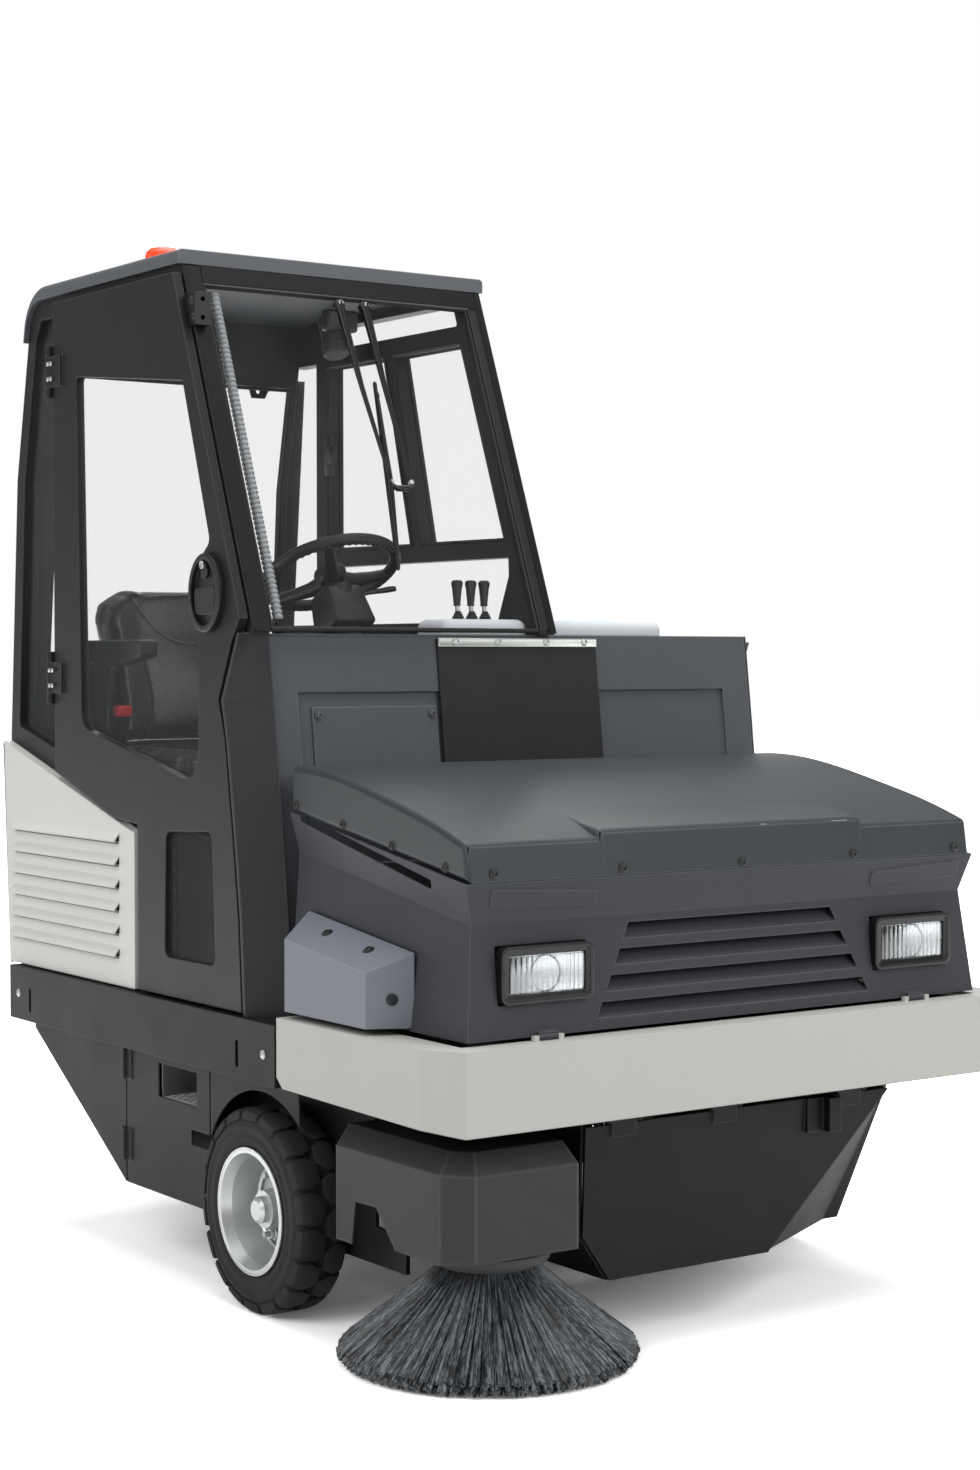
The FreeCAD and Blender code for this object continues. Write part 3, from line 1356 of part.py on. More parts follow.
def main_brush():
    """Roller with bristle rows in a chevron."""
    centre = V(main_brush_x, 0, main_brush_height)
    core = rod(V(0, -main_brush_half_length, 0), V(0, main_brush_half_length, 0), main_brush_core)
    rows = []
    twist = 24.0
    for sign in (-1, 1):
        for i in range(main_brush_rows):
            def blade(y, angle):
                a = math.radians(angle)
                out = V(math.cos(a), 0, math.sin(a))
                side = V(-math.sin(a), 0, math.cos(a))
                near = out * (main_brush_core - 6)
                far = out * main_brush_radius
                shift = V(0, y, 0)
                return [near - side * 6 + shift, far - side * 9 + shift, far + side * 9 + shift,
                        near + side * 6 + shift]
            angle = 360.0 * i / main_brush_rows
            rows.append(loft([blade(0, angle), blade(sign * (main_brush_half_length - 8), angle + twist)]))
    shaft = rod(V(0, -brush_arm_middle - 5, 0), V(0, brush_arm_middle + 5, 0), 18)
    solid = core.multiFuse(rows + [shaft])
    solid.translate(centre)
    return solid


brush_arm_middle = 537.0


def main_brush_arms():
    """Two arms on a cross tube that lower the main brush."""
    pieces = []
    pivot = V(brush_lift_x, 0, brush_lift_z)
    centre = V(main_brush_x, 0, main_brush_height)
    for sign in (-1, 1):
        y0 = sign * brush_arm_middle - 5
        y1 = sign * brush_arm_middle + 5
        bar = side_plate([(pivot.x, pivot.z - 30), (centre.x, centre.z - 28), (centre.x, centre.z + 28),
                          (pivot.x, pivot.z + 30)], y0, y1)
        ends = [rod(V(p.x, y0, p.z), V(p.x, y1, p.z), r) for p, r in ((pivot, 30), (centre, 28))]
        arm = fuse([bar] + ends)
        arm = arm.cut(rod(V(pivot.x, y0 - 1, pivot.z), V(pivot.x, y1 + 1, pivot.z), 14 + bearing_clearance))
        arm = arm.cut(rod(V(centre.x, y0 - 1, centre.z), V(centre.x, y1 + 1, centre.z), 18 + bearing_clearance))
        pieces.append(arm)
    cross = rod(V(-585, -brush_arm_middle + 5, 308), V(-585, brush_arm_middle - 5, 308), 14)
    return fuse(pieces + [cross])


# Rear fork

def rear_fork():
    """Steering fork of the rear wheel with its slewing plate."""
    x = rear_axle_x
    leg_inner = tyre_width / 2 + 12
    legs = []
    for sign in (-1, 1):
        y0, y1 = sorted((sign * leg_inner, sign * (leg_inner + 16)))
        legs.append(side_plate([(x - 45, axle_height - 40), (x + 45, axle_height - 40), (x + 70, 440), (x - 70, 440)],
                               y0, y1))
    top = Part.makeCylinder(120, 24, V(x, 0, 440))
    slew = Part.makeCylinder(90, floor_top - floor_thickness - 30 - 0.5 - 464, V(x, 0, 464))
    axle = rod(V(x, -leg_inner, axle_height), V(x, leg_inner, axle_height), spindle_radius)
    return fuse(legs + [top, slew, axle])


def rear_rim():
    """Rim of the rear wheel, with its bore right through."""
    centre = V(rear_axle_x, 0, axle_height)
    solid = rim(centre, 1)
    bore = rod(centre - LEFT * tyre_width, centre + LEFT * tyre_width, spindle_radius + bearing_clearance)
    return solid.cut(bore)


# Assembly

def main():
    """Builds every node, moves the whole to its frame and writes the files."""
    right = V(0, -front_wheel_middle, axle_height)
    left = V(0, front_wheel_middle, axle_height)
    rear = V(rear_axle_x, 0, axle_height)
    axle = stub_axle()
    beam = side_beam()
    skirts = skirt()
    door = brush_door()
    tray = step_tray()
    tread = tyre()
    nodes = {
        "chassis_frame": chassis_frame(),
        "front_axle": together([axle, mirrored(axle)]),
        "sill_beams": together([mirrored(beam), beam, rear_beam()]),
        "skirts": together([mirrored(skirts), skirts]),
        "brush_door_right": mirrored(door),
        "brush_door_left": door,
        "step_trays": together([tray, mirrored(tray)]),
        "rear_side_panels": together([rear_side_panel(False), rear_side_panel(True)]),
        "rear_panel": rear_panel(),
        "left_body": left_body(),
        "engine_block": engine_block(),
        "dash_panel": dash_panel(),
        "dash_cheeks": together([cheek(), left_return()]),
        "seal_flap": seal_flap(),
        "flap_strip": clamp_strip(),
        "dash_hatch": dash_hatch(),
        "dash_covers": dash_covers(),
        "levers": levers(),
        "cab_side_right": cab_side_right(),
        "cab_side_left": cab_side_left(),
        "cab_rear_wall": cab_rear_wall(),
        "cab_roof": cab_roof(),
        "windscreen": windscreen(),
        "cab_panes": cab_panes(),
        "seat_base": seat_base(),
        "seat_cushion": seat_cushion(),
        "seat_back": seat_back(),
        "armrest": armrest(),
        "steering_column": steering_column(),
        "steering_wheel": steering_wheel(),
        "wiper": wiper(),
        "beacon": beacon(),
        "mirror_bracket": mirror_bracket(),
        "door_panel": fuse([door_panel(), door_hinges()]),
        "door_panes": door_panes(),
        "door_handle": door_handle(),
        "lift_arms": lift_arms(),
        "hopper_frame": hopper_frame(),
        "hopper_bin": hopper_bin(),
        "hopper_door": hopper_door(),
        "bumper": bumper(),
        "hood_shell": hood_shell(),
        "hood_cover": hood_cover(),
        "headlamps": headlamps(),
        "headlamp_lenses": headlamp_lenses(),
        "side_box": side_box(),
        "lift_barrels": together([lift_barrel(-1), lift_barrel(1)]),
        "lift_rods": together([lift_rod(-1), lift_rod(1)]),
        "brush_arm": brush_arm(),
        "brush_cover": brush_cover(),
        "side_brush": side_brush(),
        "main_brush": main_brush(),
        "main_brush_arms": main_brush_arms(),
        "rear_fork": rear_fork(),
        "tyre_right": moved(tread, right),
        "tyre_left": moved(tread, left),
        "tyre_rear": moved(tread, rear),
        "rim_right": rim(right, -1),
        "rim_left": rim(left, 1),
        "rim_rear": rear_rim(),
    }
    box = FreeCAD.BoundBox()
    for shape in nodes.values():
        box.add(shape.BoundBox)
    shift = V(-(box.XMin + box.XMax) / 2, -(box.YMin + box.YMax) / 2, 0)
    print("frame shift", round(shift.x, 3), round(shift.y, 3), "box", box)
    os.makedirs("parts", exist_ok=True)
    for name, shape in nodes.items():
        shape.translate(shift)
        if not shape.isValid() or shape.Volume <= 0:
            print("check", name, shape.isValid(), shape.Volume)
        shape.exportStep("parts/" + name + ".step")
    return shift


frame_shift = main()
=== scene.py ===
"""Looks of a compact road sweeper with an offset cab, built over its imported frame."""

import json
import logging
import math
import random
import sys
from dataclasses import dataclass
from enum import Enum
from typing import Any, Callable, Iterable, Sequence

import bmesh
import bpy
from mathutils import Matrix, Vector

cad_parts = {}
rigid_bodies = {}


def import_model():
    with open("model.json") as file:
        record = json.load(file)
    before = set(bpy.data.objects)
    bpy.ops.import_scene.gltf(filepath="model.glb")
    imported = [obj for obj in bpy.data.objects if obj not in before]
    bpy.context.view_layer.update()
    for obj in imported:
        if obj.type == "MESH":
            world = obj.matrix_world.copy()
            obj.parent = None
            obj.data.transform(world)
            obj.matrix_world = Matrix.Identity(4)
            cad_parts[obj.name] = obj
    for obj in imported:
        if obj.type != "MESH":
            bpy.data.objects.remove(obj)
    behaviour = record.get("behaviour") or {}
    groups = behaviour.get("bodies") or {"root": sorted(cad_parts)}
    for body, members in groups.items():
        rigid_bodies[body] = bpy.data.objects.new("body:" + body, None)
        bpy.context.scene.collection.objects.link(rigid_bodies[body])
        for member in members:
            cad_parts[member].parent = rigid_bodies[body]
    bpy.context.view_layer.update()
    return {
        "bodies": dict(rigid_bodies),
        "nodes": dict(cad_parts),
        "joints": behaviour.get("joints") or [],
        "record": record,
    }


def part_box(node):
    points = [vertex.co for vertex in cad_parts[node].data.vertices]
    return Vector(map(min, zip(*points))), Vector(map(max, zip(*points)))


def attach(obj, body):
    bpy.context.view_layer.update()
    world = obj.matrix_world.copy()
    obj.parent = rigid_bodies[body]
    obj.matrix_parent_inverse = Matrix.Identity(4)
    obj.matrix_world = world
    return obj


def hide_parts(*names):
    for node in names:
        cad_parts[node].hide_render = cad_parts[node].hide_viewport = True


log = logging.getLogger("sweeper")
MM_PER_METRE = 1000.0
SMOOTH_ANGLE = math.radians(35)
X = Vector((1, 0, 0))
Y = Vector((0, 1, 0))
Z = Vector((0, 0, 1))
SCREEN_TOP = (-282.0, 2142.0)
SCREEN_LEAN = 0.3847
COLUMN_LEAN = math.radians(28)
COLUMN_AXIS = Vector((-math.sin(COLUMN_LEAN), 0, math.cos(COLUMN_LEAN)))
HALF_TRACK = 627.5
AXLE_HEIGHT = 207.5
REAR_AXLE = -830.0
Place = tuple[float, float, float]
Colour = tuple[float, float, float, float]
Piece = bpy.types.Object


class Side(Enum):
    """The vehicle's two sides, by the sign of Y."""

    RIGHT = -1
    LEFT = 1


class Datum:
    """Turns millimetres from the front axle's middle into metres in the frame."""

    def __init__(self) -> None:
        """Finds the axle's middle from its node."""
        low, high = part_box("front_axle")
        middle = (low + high) / 2
        self.origin = Vector((middle.x, middle.y, 0.0))

    def at(self, x: float, y: float, z: float) -> Vector:
        """Point in metres in the frame, from millimetres forward of the axle, left of it and up."""
        return self.origin + Vector((x, y, z)) / MM_PER_METRE


# Shader work

def linear(code: str) -> Colour:
    """Linear colour of an sRGB hex code.

    Args:
        code: Six hex digits after a hash sign.

    Returns:
        Red, green, blue and an alpha of 1.
    """
    parts = [int(code[i:i + 2], 16) / 255 for i in (1, 3, 5)]
    red, green, blue = [c / 12.92 if c <= 0.04045 else ((c + 0.055) / 1.055) ** 2.4 for c in parts]
    return red, green, blue, 1.0


def tinted(base: Colour, factor: float, lift: float = 0.0) -> Colour:
    """A colour scaled and lifted, with an alpha of 1."""
    red, green, blue = [min(1.0, c * factor + lift) for c in base[:3]]
    return red, green, blue, 1.0


class Signal:
    """A shader socket that takes Python's operators."""

    def __init__(self, graph: "Graph", socket: bpy.types.NodeSocket) -> None:
        """Keeps the socket and the graph that new nodes go to."""
        self.graph = graph
        self.socket = socket

    def __add__(self, other: Any) -> "Signal":
        """Sum."""
        return self.graph.maths("ADD", self, other)

    def __radd__(self, other: Any) -> "Signal":
        """Sum, reflected."""
        return self.graph.maths("ADD", other, self)

    def __sub__(self, other: Any) -> "Signal":
        """Difference."""
        return self.graph.maths("SUBTRACT", self, other)

    def __rsub__(self, other: Any) -> "Signal":
        """Difference, reflected."""
        return self.graph.maths("SUBTRACT", other, self)

    def __mul__(self, other: Any) -> "Signal":
        """Product."""
        return self.graph.maths("MULTIPLY", self, other)

    def __rmul__(self, other: Any) -> "Signal":
        """Product, reflected."""
        return self.graph.maths("MULTIPLY", other, self)

    def __pow__(self, other: Any) -> "Signal":
        """Power."""
        return self.graph.maths("POWER", self, other)

    def clamped(self) -> "Signal":
        """The value held between 0 and 1."""
        return self.graph.maths("MINIMUM", self.graph.maths("MAXIMUM", self, 0.0), 1.0)


class Graph:
    """One material's nodes."""

    def __init__(self, name: str) -> None:
        """Starts a material with an empty tree and an output."""
        self.material = bpy.data.materials.new(name)
        self.material.use_nodes = True
        self.tree = self.material.node_tree
        self.tree.nodes.clear()
        self.output = self.tree.nodes.new("ShaderNodeOutputMaterial")

    def node(
            self, kind: str, settings: dict[str, Any] | None = None,
            inputs: dict[Any, Any] | None = None) -> bpy.types.Node:
        """Adds a node.

        Args:
            kind: The node's type.
            settings: Properties set first; stops gives a ramp's places and colours.
            inputs: Values or signals for its sockets.

        Returns:
            The node.
        """
        new = self.tree.nodes.new(kind)
        for key, value in (settings or {}).items():
            if key == "stops":
                ramp = new.color_ramp
                while len(ramp.elements) < len(value):
                    ramp.elements.new(0.5)
                for element, (place, colour) in zip(ramp.elements, value):
                    element.position = place
                    element.color = colour
            else:
                setattr(new, key, value)
        for key, value in (inputs or {}).items():
            if isinstance(value, Signal):
                self.tree.links.new(value.socket, new.inputs[key])
            else:
                new.inputs[key].default_value = value
        return new

    def signal(
            self, kind: str, settings: dict[str, Any] | None = None, inputs: dict[Any, Any] | None = None,
            output: Any = 0) -> Signal:
        """Adds a node and gives one of its outputs as a signal."""
        return Signal(self, self.node(kind, settings, inputs).outputs[output])

    def maths(self, operation: str, first: Any, second: Any = 0.0) -> Signal:
        """A Math node on two values or signals."""
        return self.signal("ShaderNodeMath", {"operation": operation}, {0: first, 1: second})

    def place(self) -> Signal:
        """Object coordinates."""
        return self.signal("ShaderNodeTexCoord", output="Object")

    def noise(
            self, scale: float, detail: float = 3.0, roughness: float = 0.5,
            vector: Signal | None = None) -> Signal:
        """Noise of so many features per metre, read at object coordinates if no others are given."""
        inputs = {"Vector": vector or self.place(), "Scale": scale, "Detail": detail, "Roughness": roughness}
        return self.signal("ShaderNodeTexNoise", None, inputs)

    def blend(self, amount: Any, first: Any, second: Any) -> Signal:
        """Mixes two colours by an amount."""
        return self.signal("ShaderNodeMix", {"data_type": "RGBA"}, {0: amount, 6: first, 7: second}, output=2)

    def edges(self, radius: float) -> tuple[Signal, Signal]:
        """Rounded normal and a mask of the piece's edges.

        Args:
            radius: Radius of the rounding in metres.

        Returns:
            The rounded normal, and a value that rises towards an edge.
        """
        rounded = self.signal("ShaderNodeBevel", {"samples": 4}, {"Radius": radius})
        true = self.signal("ShaderNodeNewGeometry", output="Normal")
        facing = self.signal(
            "ShaderNodeVectorMath", {"operation": "DOT_PRODUCT"}, {0: rounded, 1: true}, output="Value")
        return rounded, ((1.0 - facing) * 9.0).clamped()

    def bump(self, height: Signal, depth: float, normal: Signal | None = None) -> Signal:
        """A normal raised by a height in metres.

        Args:
            height: The height.
            depth: Metres that a height of 1 stands for.
            normal: Normal that it is laid on.

        Returns:
            The new normal.
        """
        inputs = {"Height": height, "Distance": depth, "Strength": 1.0}
        if normal is not None:
            inputs["Normal"] = normal
        return self.signal("ShaderNodeBump", None, inputs)

    def principled(self, **values: Any) -> bpy.types.Node:
        """A Principled node; underscores in names stand for spaces."""
        inputs = {key.replace("_", " "): value for key, value in values.items()}
        return self.node("ShaderNodeBsdfPrincipled", None, inputs)

    def mixed(self, share: Signal, first: bpy.types.Node, second: bpy.types.Node) -> bpy.types.Node:
        """Mixes two shaders.

        Args:
            share: Share of the second shader.
            first: Shader seen at 0.
            second: Shader seen at 1.

        Returns:
            The mixed shader.
        """
        mix = self.node("ShaderNodeMixShader", None, {0: share})
        self.tree.links.new(first.outputs[0], mix.inputs[1])
        self.tree.links.new(second.outputs[0], mix.inputs[2])
        return mix

    def finish(self, shader: bpy.types.Node) -> bpy.types.Material:
        """Links a shader to the output and returns the material."""
        self.tree.links.new(shader.outputs[0], self.output.inputs["Surface"])
        return self.material


@dataclass(frozen=True)
class Painted:
    """Powder-coated or painted sheet."""

    colour: str
    roughness: float = 0.5
    grain: float = 0.00006
    grain_scale: float = 700.0
    edge: float = 0.0042
    # Strength of the painted highlight laid along the edges.
    edge_highlight: float = 0.6
    cloud: float = 0.10

    def build(self, name: str) -> bpy.types.Material:
        """Makes the material.

        Args:
            name: The material's name.

        Returns:
            The material.
        """
        g = Graph(name)
        base = linear(self.colour)
        cloud = g.noise(3.5, 4.0) * 0.6 + g.noise(38.0, 2.0) * 0.4
        tone = g.blend(cloud, tinted(base, 1 - self.cloud), tinted(base, 1 + self.cloud))
        rounded, edge = g.edges(self.edge)
        # Painted highlight: the edges are lightened to 2.2 times the base plus 0.1, broken up by noise.
        tone = g.blend(edge * self.edge_highlight * (0.4 + g.noise(60.0)), tone, tinted(base, 2.2, 0.10))
        grain = g.noise(self.grain_scale, 2.0)
        shine = (self.roughness - 0.06 + g.noise(12.0) * 0.1 + grain * 0.04).clamped()
        normal = g.bump(grain, self.grain, rounded)
        return g.finish(
            g.principled(Base_Color=tone, Roughness=shine, Specular_IOR_Level=0.14, Normal=normal))


@dataclass(frozen=True)
class Moulded:
    """Moulded plastic with a fine leather-like skin."""

    colour: str
    roughness: float = 0.55
    skin: float = 0.00012
    skin_scale: float = 420.0
    edge: float = 0.003

    def build(self, name: str) -> bpy.types.Material:
        """Makes the material.

        Args:
            name: The material's name.

        Returns:
            The material.
        """
        g = Graph(name)
        base = linear(self.colour)
        rounded, edge = g.edges(self.edge)
        cells = g.signal(
            "ShaderNodeTexVoronoi", {"feature": "SMOOTH_F1"}, {"Vector": g.place(),
            "Scale": self.skin_scale, "Smoothness": 0.7})
        cloud = g.noise(5.0, 5.0)
        skin = g.blend(cloud, tinted(base, 0.9), tinted(base, 1.1, 0.002))
        # Painted highlight: the edges are lightened to 2.2 times the base plus 0.08.
        tone = g.blend(edge * 0.5, skin, tinted(base, 2.2, 0.08))
        shine = (self.roughness - 0.07 + cloud * 0.1 + cells * 0.05).clamped()
        normal = g.bump(cells, self.skin, rounded)
        return g.finish(
            g.principled(Base_Color=tone, Roughness=shine, Specular_IOR_Level=0.28, Normal=normal))


@dataclass(frozen=True)
class Metal:
    """Bare, plated or silver-painted metal."""

    colour: str
    roughness: float = 0.35
    metallic: float = 1.0
    stain: float = 0.25
    edge: float = 0.0012

    def build(self, name: str) -> bpy.types.Material:
        """Makes the material.

        Args:
            name: The material's name.

        Returns:
            The material.
        """
        g = Graph(name)
        base = linear(self.colour)
        rounded, edge = g.edges(self.edge)
        spots = g.noise(90.0, 6.0, 0.65)
        cloud = g.noise(14.0, 3.0)
        tone = g.blend((spots * cloud * 1.8).clamped(), base, tinted(base, 1 - self.stain))
        shine = (self.roughness + (spots - 0.5) * 0.3 - edge * 0.1).clamped()
        normal = g.bump(spots, 0.00004, rounded)
        return g.finish(
            g.principled(Base_Color=tone, Roughness=shine, Metallic=self.metallic, Normal=normal))


@dataclass(frozen=True)
class Rubber:
    """Black rubber with a dusty bloom on its raised parts."""

    colour: str
    bloom: str
    roughness: float = 0.78
    fibre: float = 260.0
    edge: float = 0.002

    def build(self, name: str) -> bpy.types.Material:
        """Makes the material.

        Args:
            name: The material's name.

        Returns:
            The material.
        """
        g = Graph(name)
        rounded, edge = g.edges(self.edge)
        pits = g.noise(self.fibre, 6.0, 0.6)
        cloud = g.noise(9.0, 4.0)
        dust = (edge * 0.5 + cloud * cloud * 0.7).clamped()
        tone = g.blend(dust, linear(self.colour), linear(self.bloom))
        shine = (self.roughness + (pits - 0.5) * 0.25).clamped()
        normal = g.bump(pits, 0.00025, rounded)
        return g.finish(
            g.principled(Base_Color=tone, Roughness=shine, Specular_IOR_Level=0.3, Normal=normal))


@dataclass(frozen=True)
class Vinyl:
    """Seat vinyl with a leather grain."""

    colour: str
    roughness: float = 0.42

    def build(self, name: str) -> bpy.types.Material:
        """Makes the material.

        Args:
            name: The material's name.

        Returns:
            The material.
        """
        g = Graph(name)
        base = linear(self.colour)
        cells = g.signal(
            "ShaderNodeTexVoronoi", {"feature": "DISTANCE_TO_EDGE"}, {"Vector": g.place(), "Scale": 330.0})
        creases = g.noise(26.0, 5.0, 0.6)
        grain = (cells * 6.0).clamped()
        tone = g.blend(creases * 0.6, base, tinted(base, 1.5, 0.004))
        shine = (self.roughness + (creases - 0.5) * 0.2 - grain * 0.06).clamped()
        height = grain * 0.35 + creases
        return g.finish(g.principled(Base_Color=tone, Roughness=shine, Normal=g.bump(height, 0.0002)))


@dataclass(frozen=True)
class Bristles:
    """Stiff bristles, dark with pale streaks of painted highlight that run out from a brush's middle."""

    colour: str
    highlight_streak: str
    node: str

    def build(self, name: str) -> bpy.types.Material:
        """Makes the material.

        Args:
            name: The material's name.

        Returns:
            The material.
        """
        g = Graph(name)
        low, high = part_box(self.node)
        middle = (low + high) / 2
        away = g.signal(
            "ShaderNodeVectorMath", {"operation": "SUBTRACT"}, {0: g.place(), 1: (*middle.xy, 0.0)})
        parts = g.node("ShaderNodeSeparateXYZ", None, {0: away})
        across, along, height = (Signal(g, parts.outputs[i]) for i in range(3))
        angle = g.maths("ARCTAN2", along, across)
        out = g.maths("SQRT", across * across + along * along)
        line = g.signal("ShaderNodeCombineXYZ", None, {0: angle * 40.0, 1: out * 9.0, 2: height * 30.0})
        spread = g.noise(1.0, 2.0, 0.5, line)
        fine = g.noise(4.5, 1.0, 0.5, line)
        # Painted highlight: the pale streak colour is laid on strands picked by noise.
        pick = ((spread * 0.5 + fine * 0.5 - 0.45) * 6.0).clamped()
        tone = g.blend(pick, linear(self.colour), linear(self.highlight_streak))
        return g.finish(g.principled(Base_Color=tone, Roughness=0.38 + fine * 0.2, Specular_IOR_Level=0.6))


@dataclass(frozen=True)
class Pane:
    """Clear sheet that lets lamps through and mirrors its surroundings."""

    tint: str
    strength: float = 0.10
    haze: float = 0.012

    def build(self, name: str) -> bpy.types.Material:
        """Makes the material.

        Args:
            name: The material's name.

        Returns:
            The material.
        """
        g = Graph(name)
        smear = g.noise(4.0, 4.0)
        slant = g.signal("ShaderNodeLayerWeight", None, {"Blend": 0.5}, output="Facing")
        clear = g.node("ShaderNodeBsdfTransparent", None, {"Color": linear(self.tint)})
        gloss = g.principled(
            Base_Color=linear("#dfe6e8"), Roughness=(self.haze + smear * 0.01).clamped(),
            Specular_IOR_Level=0.8)
        share = (0.006 + slant ** 5.0 * 0.4 + self.strength * smear * smear).clamped()
        return g.finish(g.mixed(share, clear, gloss))


@dataclass(frozen=True)
class Lens:
    """Solid clear or coloured lens."""

    colour: str
    roughness: float = 0.06
    glow: float = 0.0
    flutes: float = 0.0

    def build(self, name: str) -> bpy.types.Material:
        """Makes the material.

        Args:
            name: The material's name.

        Returns:
            The material.
        """
        g = Graph(name)
        cloud = g.noise(40.0, 3.0)
        base = linear(self.colour)
        shader = g.principled(
            Base_Color=base, Roughness=(self.roughness + cloud * 0.03).clamped(),
            Transmission_Weight=1.0 if self.glow == 0.0 else 0.35, IOR=1.49, Emission_Color=base,
            Emission_Strength=self.glow)
        if self.flutes:
            wave = g.signal(
                "ShaderNodeTexWave", {"bands_direction": "Y", "wave_profile": "SIN"},
                {"Vector": g.place(), "Scale": self.flutes, "Distortion": 0.4}, output="Fac")
            g.tree.links.new(g.bump(wave, 0.0005).socket, shader.inputs["Normal"])
        return g.finish(shader)


class FinishShelf:
    """Every finish of the vehicle, made once and kept by name."""

    RECIPES = {
        "chassis_paint": Painted("#1f1f20", 0.5),
        "body_grey": Painted("#4b4d51", 0.46),
        "cab_dark": Painted("#252526", 0.42, grain=0.00003),
        "pillar_black": Painted("#151516", 0.36, grain=0.00003, edge_highlight=0.1),
        "roof_grey": Painted("#5e6165", 0.46),
        "cheek_grey": Painted("#303133", 0.48),
        "shell_grey": Painted("#3d3f43", 0.46),
        "dash_grey": Painted("#505357", 0.48),
        "panel_white": Painted("#dfdfdb", 0.42, edge_highlight=0.1, cloud=0.03),
        "bumper_grey": Painted("#c2c1bc", 0.4, edge_highlight=0.1, cloud=0.03),
        "bin_black": Painted("#121313", 0.5),
        # The dash domes are light plastic made paler still, as a painted reflection of the light on their
        # tops.
        "dome_pale": Painted("#c4c8cd", 0.5, edge_highlight=0.05, cloud=0.04),
        "tread_steel": Metal("#c4c6c8", 0.45, 0.4),
        "conduit_grey": Moulded("#8b8e90", 0.4),
        "zinc": Metal("#b9bcb8", 0.38, 1.0),
        "rim_silver": Metal("#c4c6c7", 0.36, 0.7, stain=0.15),
        "steel_grey": Metal("#55575a", 0.5, 0.6),
        "tyre_rubber": Rubber("#1c1c1d", "#4b4946"),
        "flap_rubber": Rubber("#19191a", "#29292a", 0.7, 420.0),
        "cover_plastic": Moulded("#34383b", 0.42, skin_scale=520.0),
        "box_plastic": Moulded("#787c85", 0.45),
        "brush_cover_plastic": Painted("#383a3c", 0.45, grain=0.0002, grain_scale=420.0, edge=0.009),
        "light_plastic": Moulded("#a7abac", 0.45),
        "black_plastic": Moulded("#151617", 0.42),
        "bristle": Bristles("#1b1e21", "#7c8287", "side_brush"),
        "seat_vinyl": Vinyl("#131315", 0.33),
        "plate_grey": Painted("#5d5e5f", 0.5),
        "lamp_black": Moulded("#0f1011", 0.3, skin=0.00004),
        "reflector": Metal("#a4a8ab", 0.3, 1.0, stain=0.05),
        "belt_red": Moulded("#c8202c", 0.35, skin=0.00003),
        "clear_glass": Pane("#fbfbfb", 0.012),
        "lamp_glass": Lens("#fbfcfc", 0.02, flutes=26.0),
        "amber_lens": Lens("#ff4a14", 0.15, glow=0.25),
    }

    SLOTS = {
        "cab_dark": "body_grey", "roof_grey": "body_grey", "pillar_black": "black_plastic",
        "cheek_grey": "body_grey", "shell_grey": "body_grey", "dome_pale": "light_plastic",
        "tread_steel": "zinc", "conduit_grey": "light_plastic", "plate_grey": "steel_grey",
        "lamp_black": "black_plastic", "reflector": "zinc", "belt_red": "black_plastic"}

    def __init__(self) -> None:
        """Starts with nothing made."""
        self.made: dict[str, bpy.types.Material] = {}

    def get(self, name: str) -> bpy.types.Material:
        """The material of a finish, made on first use.

        Args:
            name: The finish.

        Returns:
            Its material.
        """
        if name not in self.made:
            self.made[name] = self.RECIPES[name].build(name)
        return self.made[name]


# Modelling by hand

def facing(spot: Vector, normal: Vector) -> Matrix:
    """Places a pattern drawn about the origin along Z at a spot and turns it to a normal."""
    return Matrix.Translation(spot) @ Z.rotation_difference(normal.normalized()).to_matrix().to_4x4()


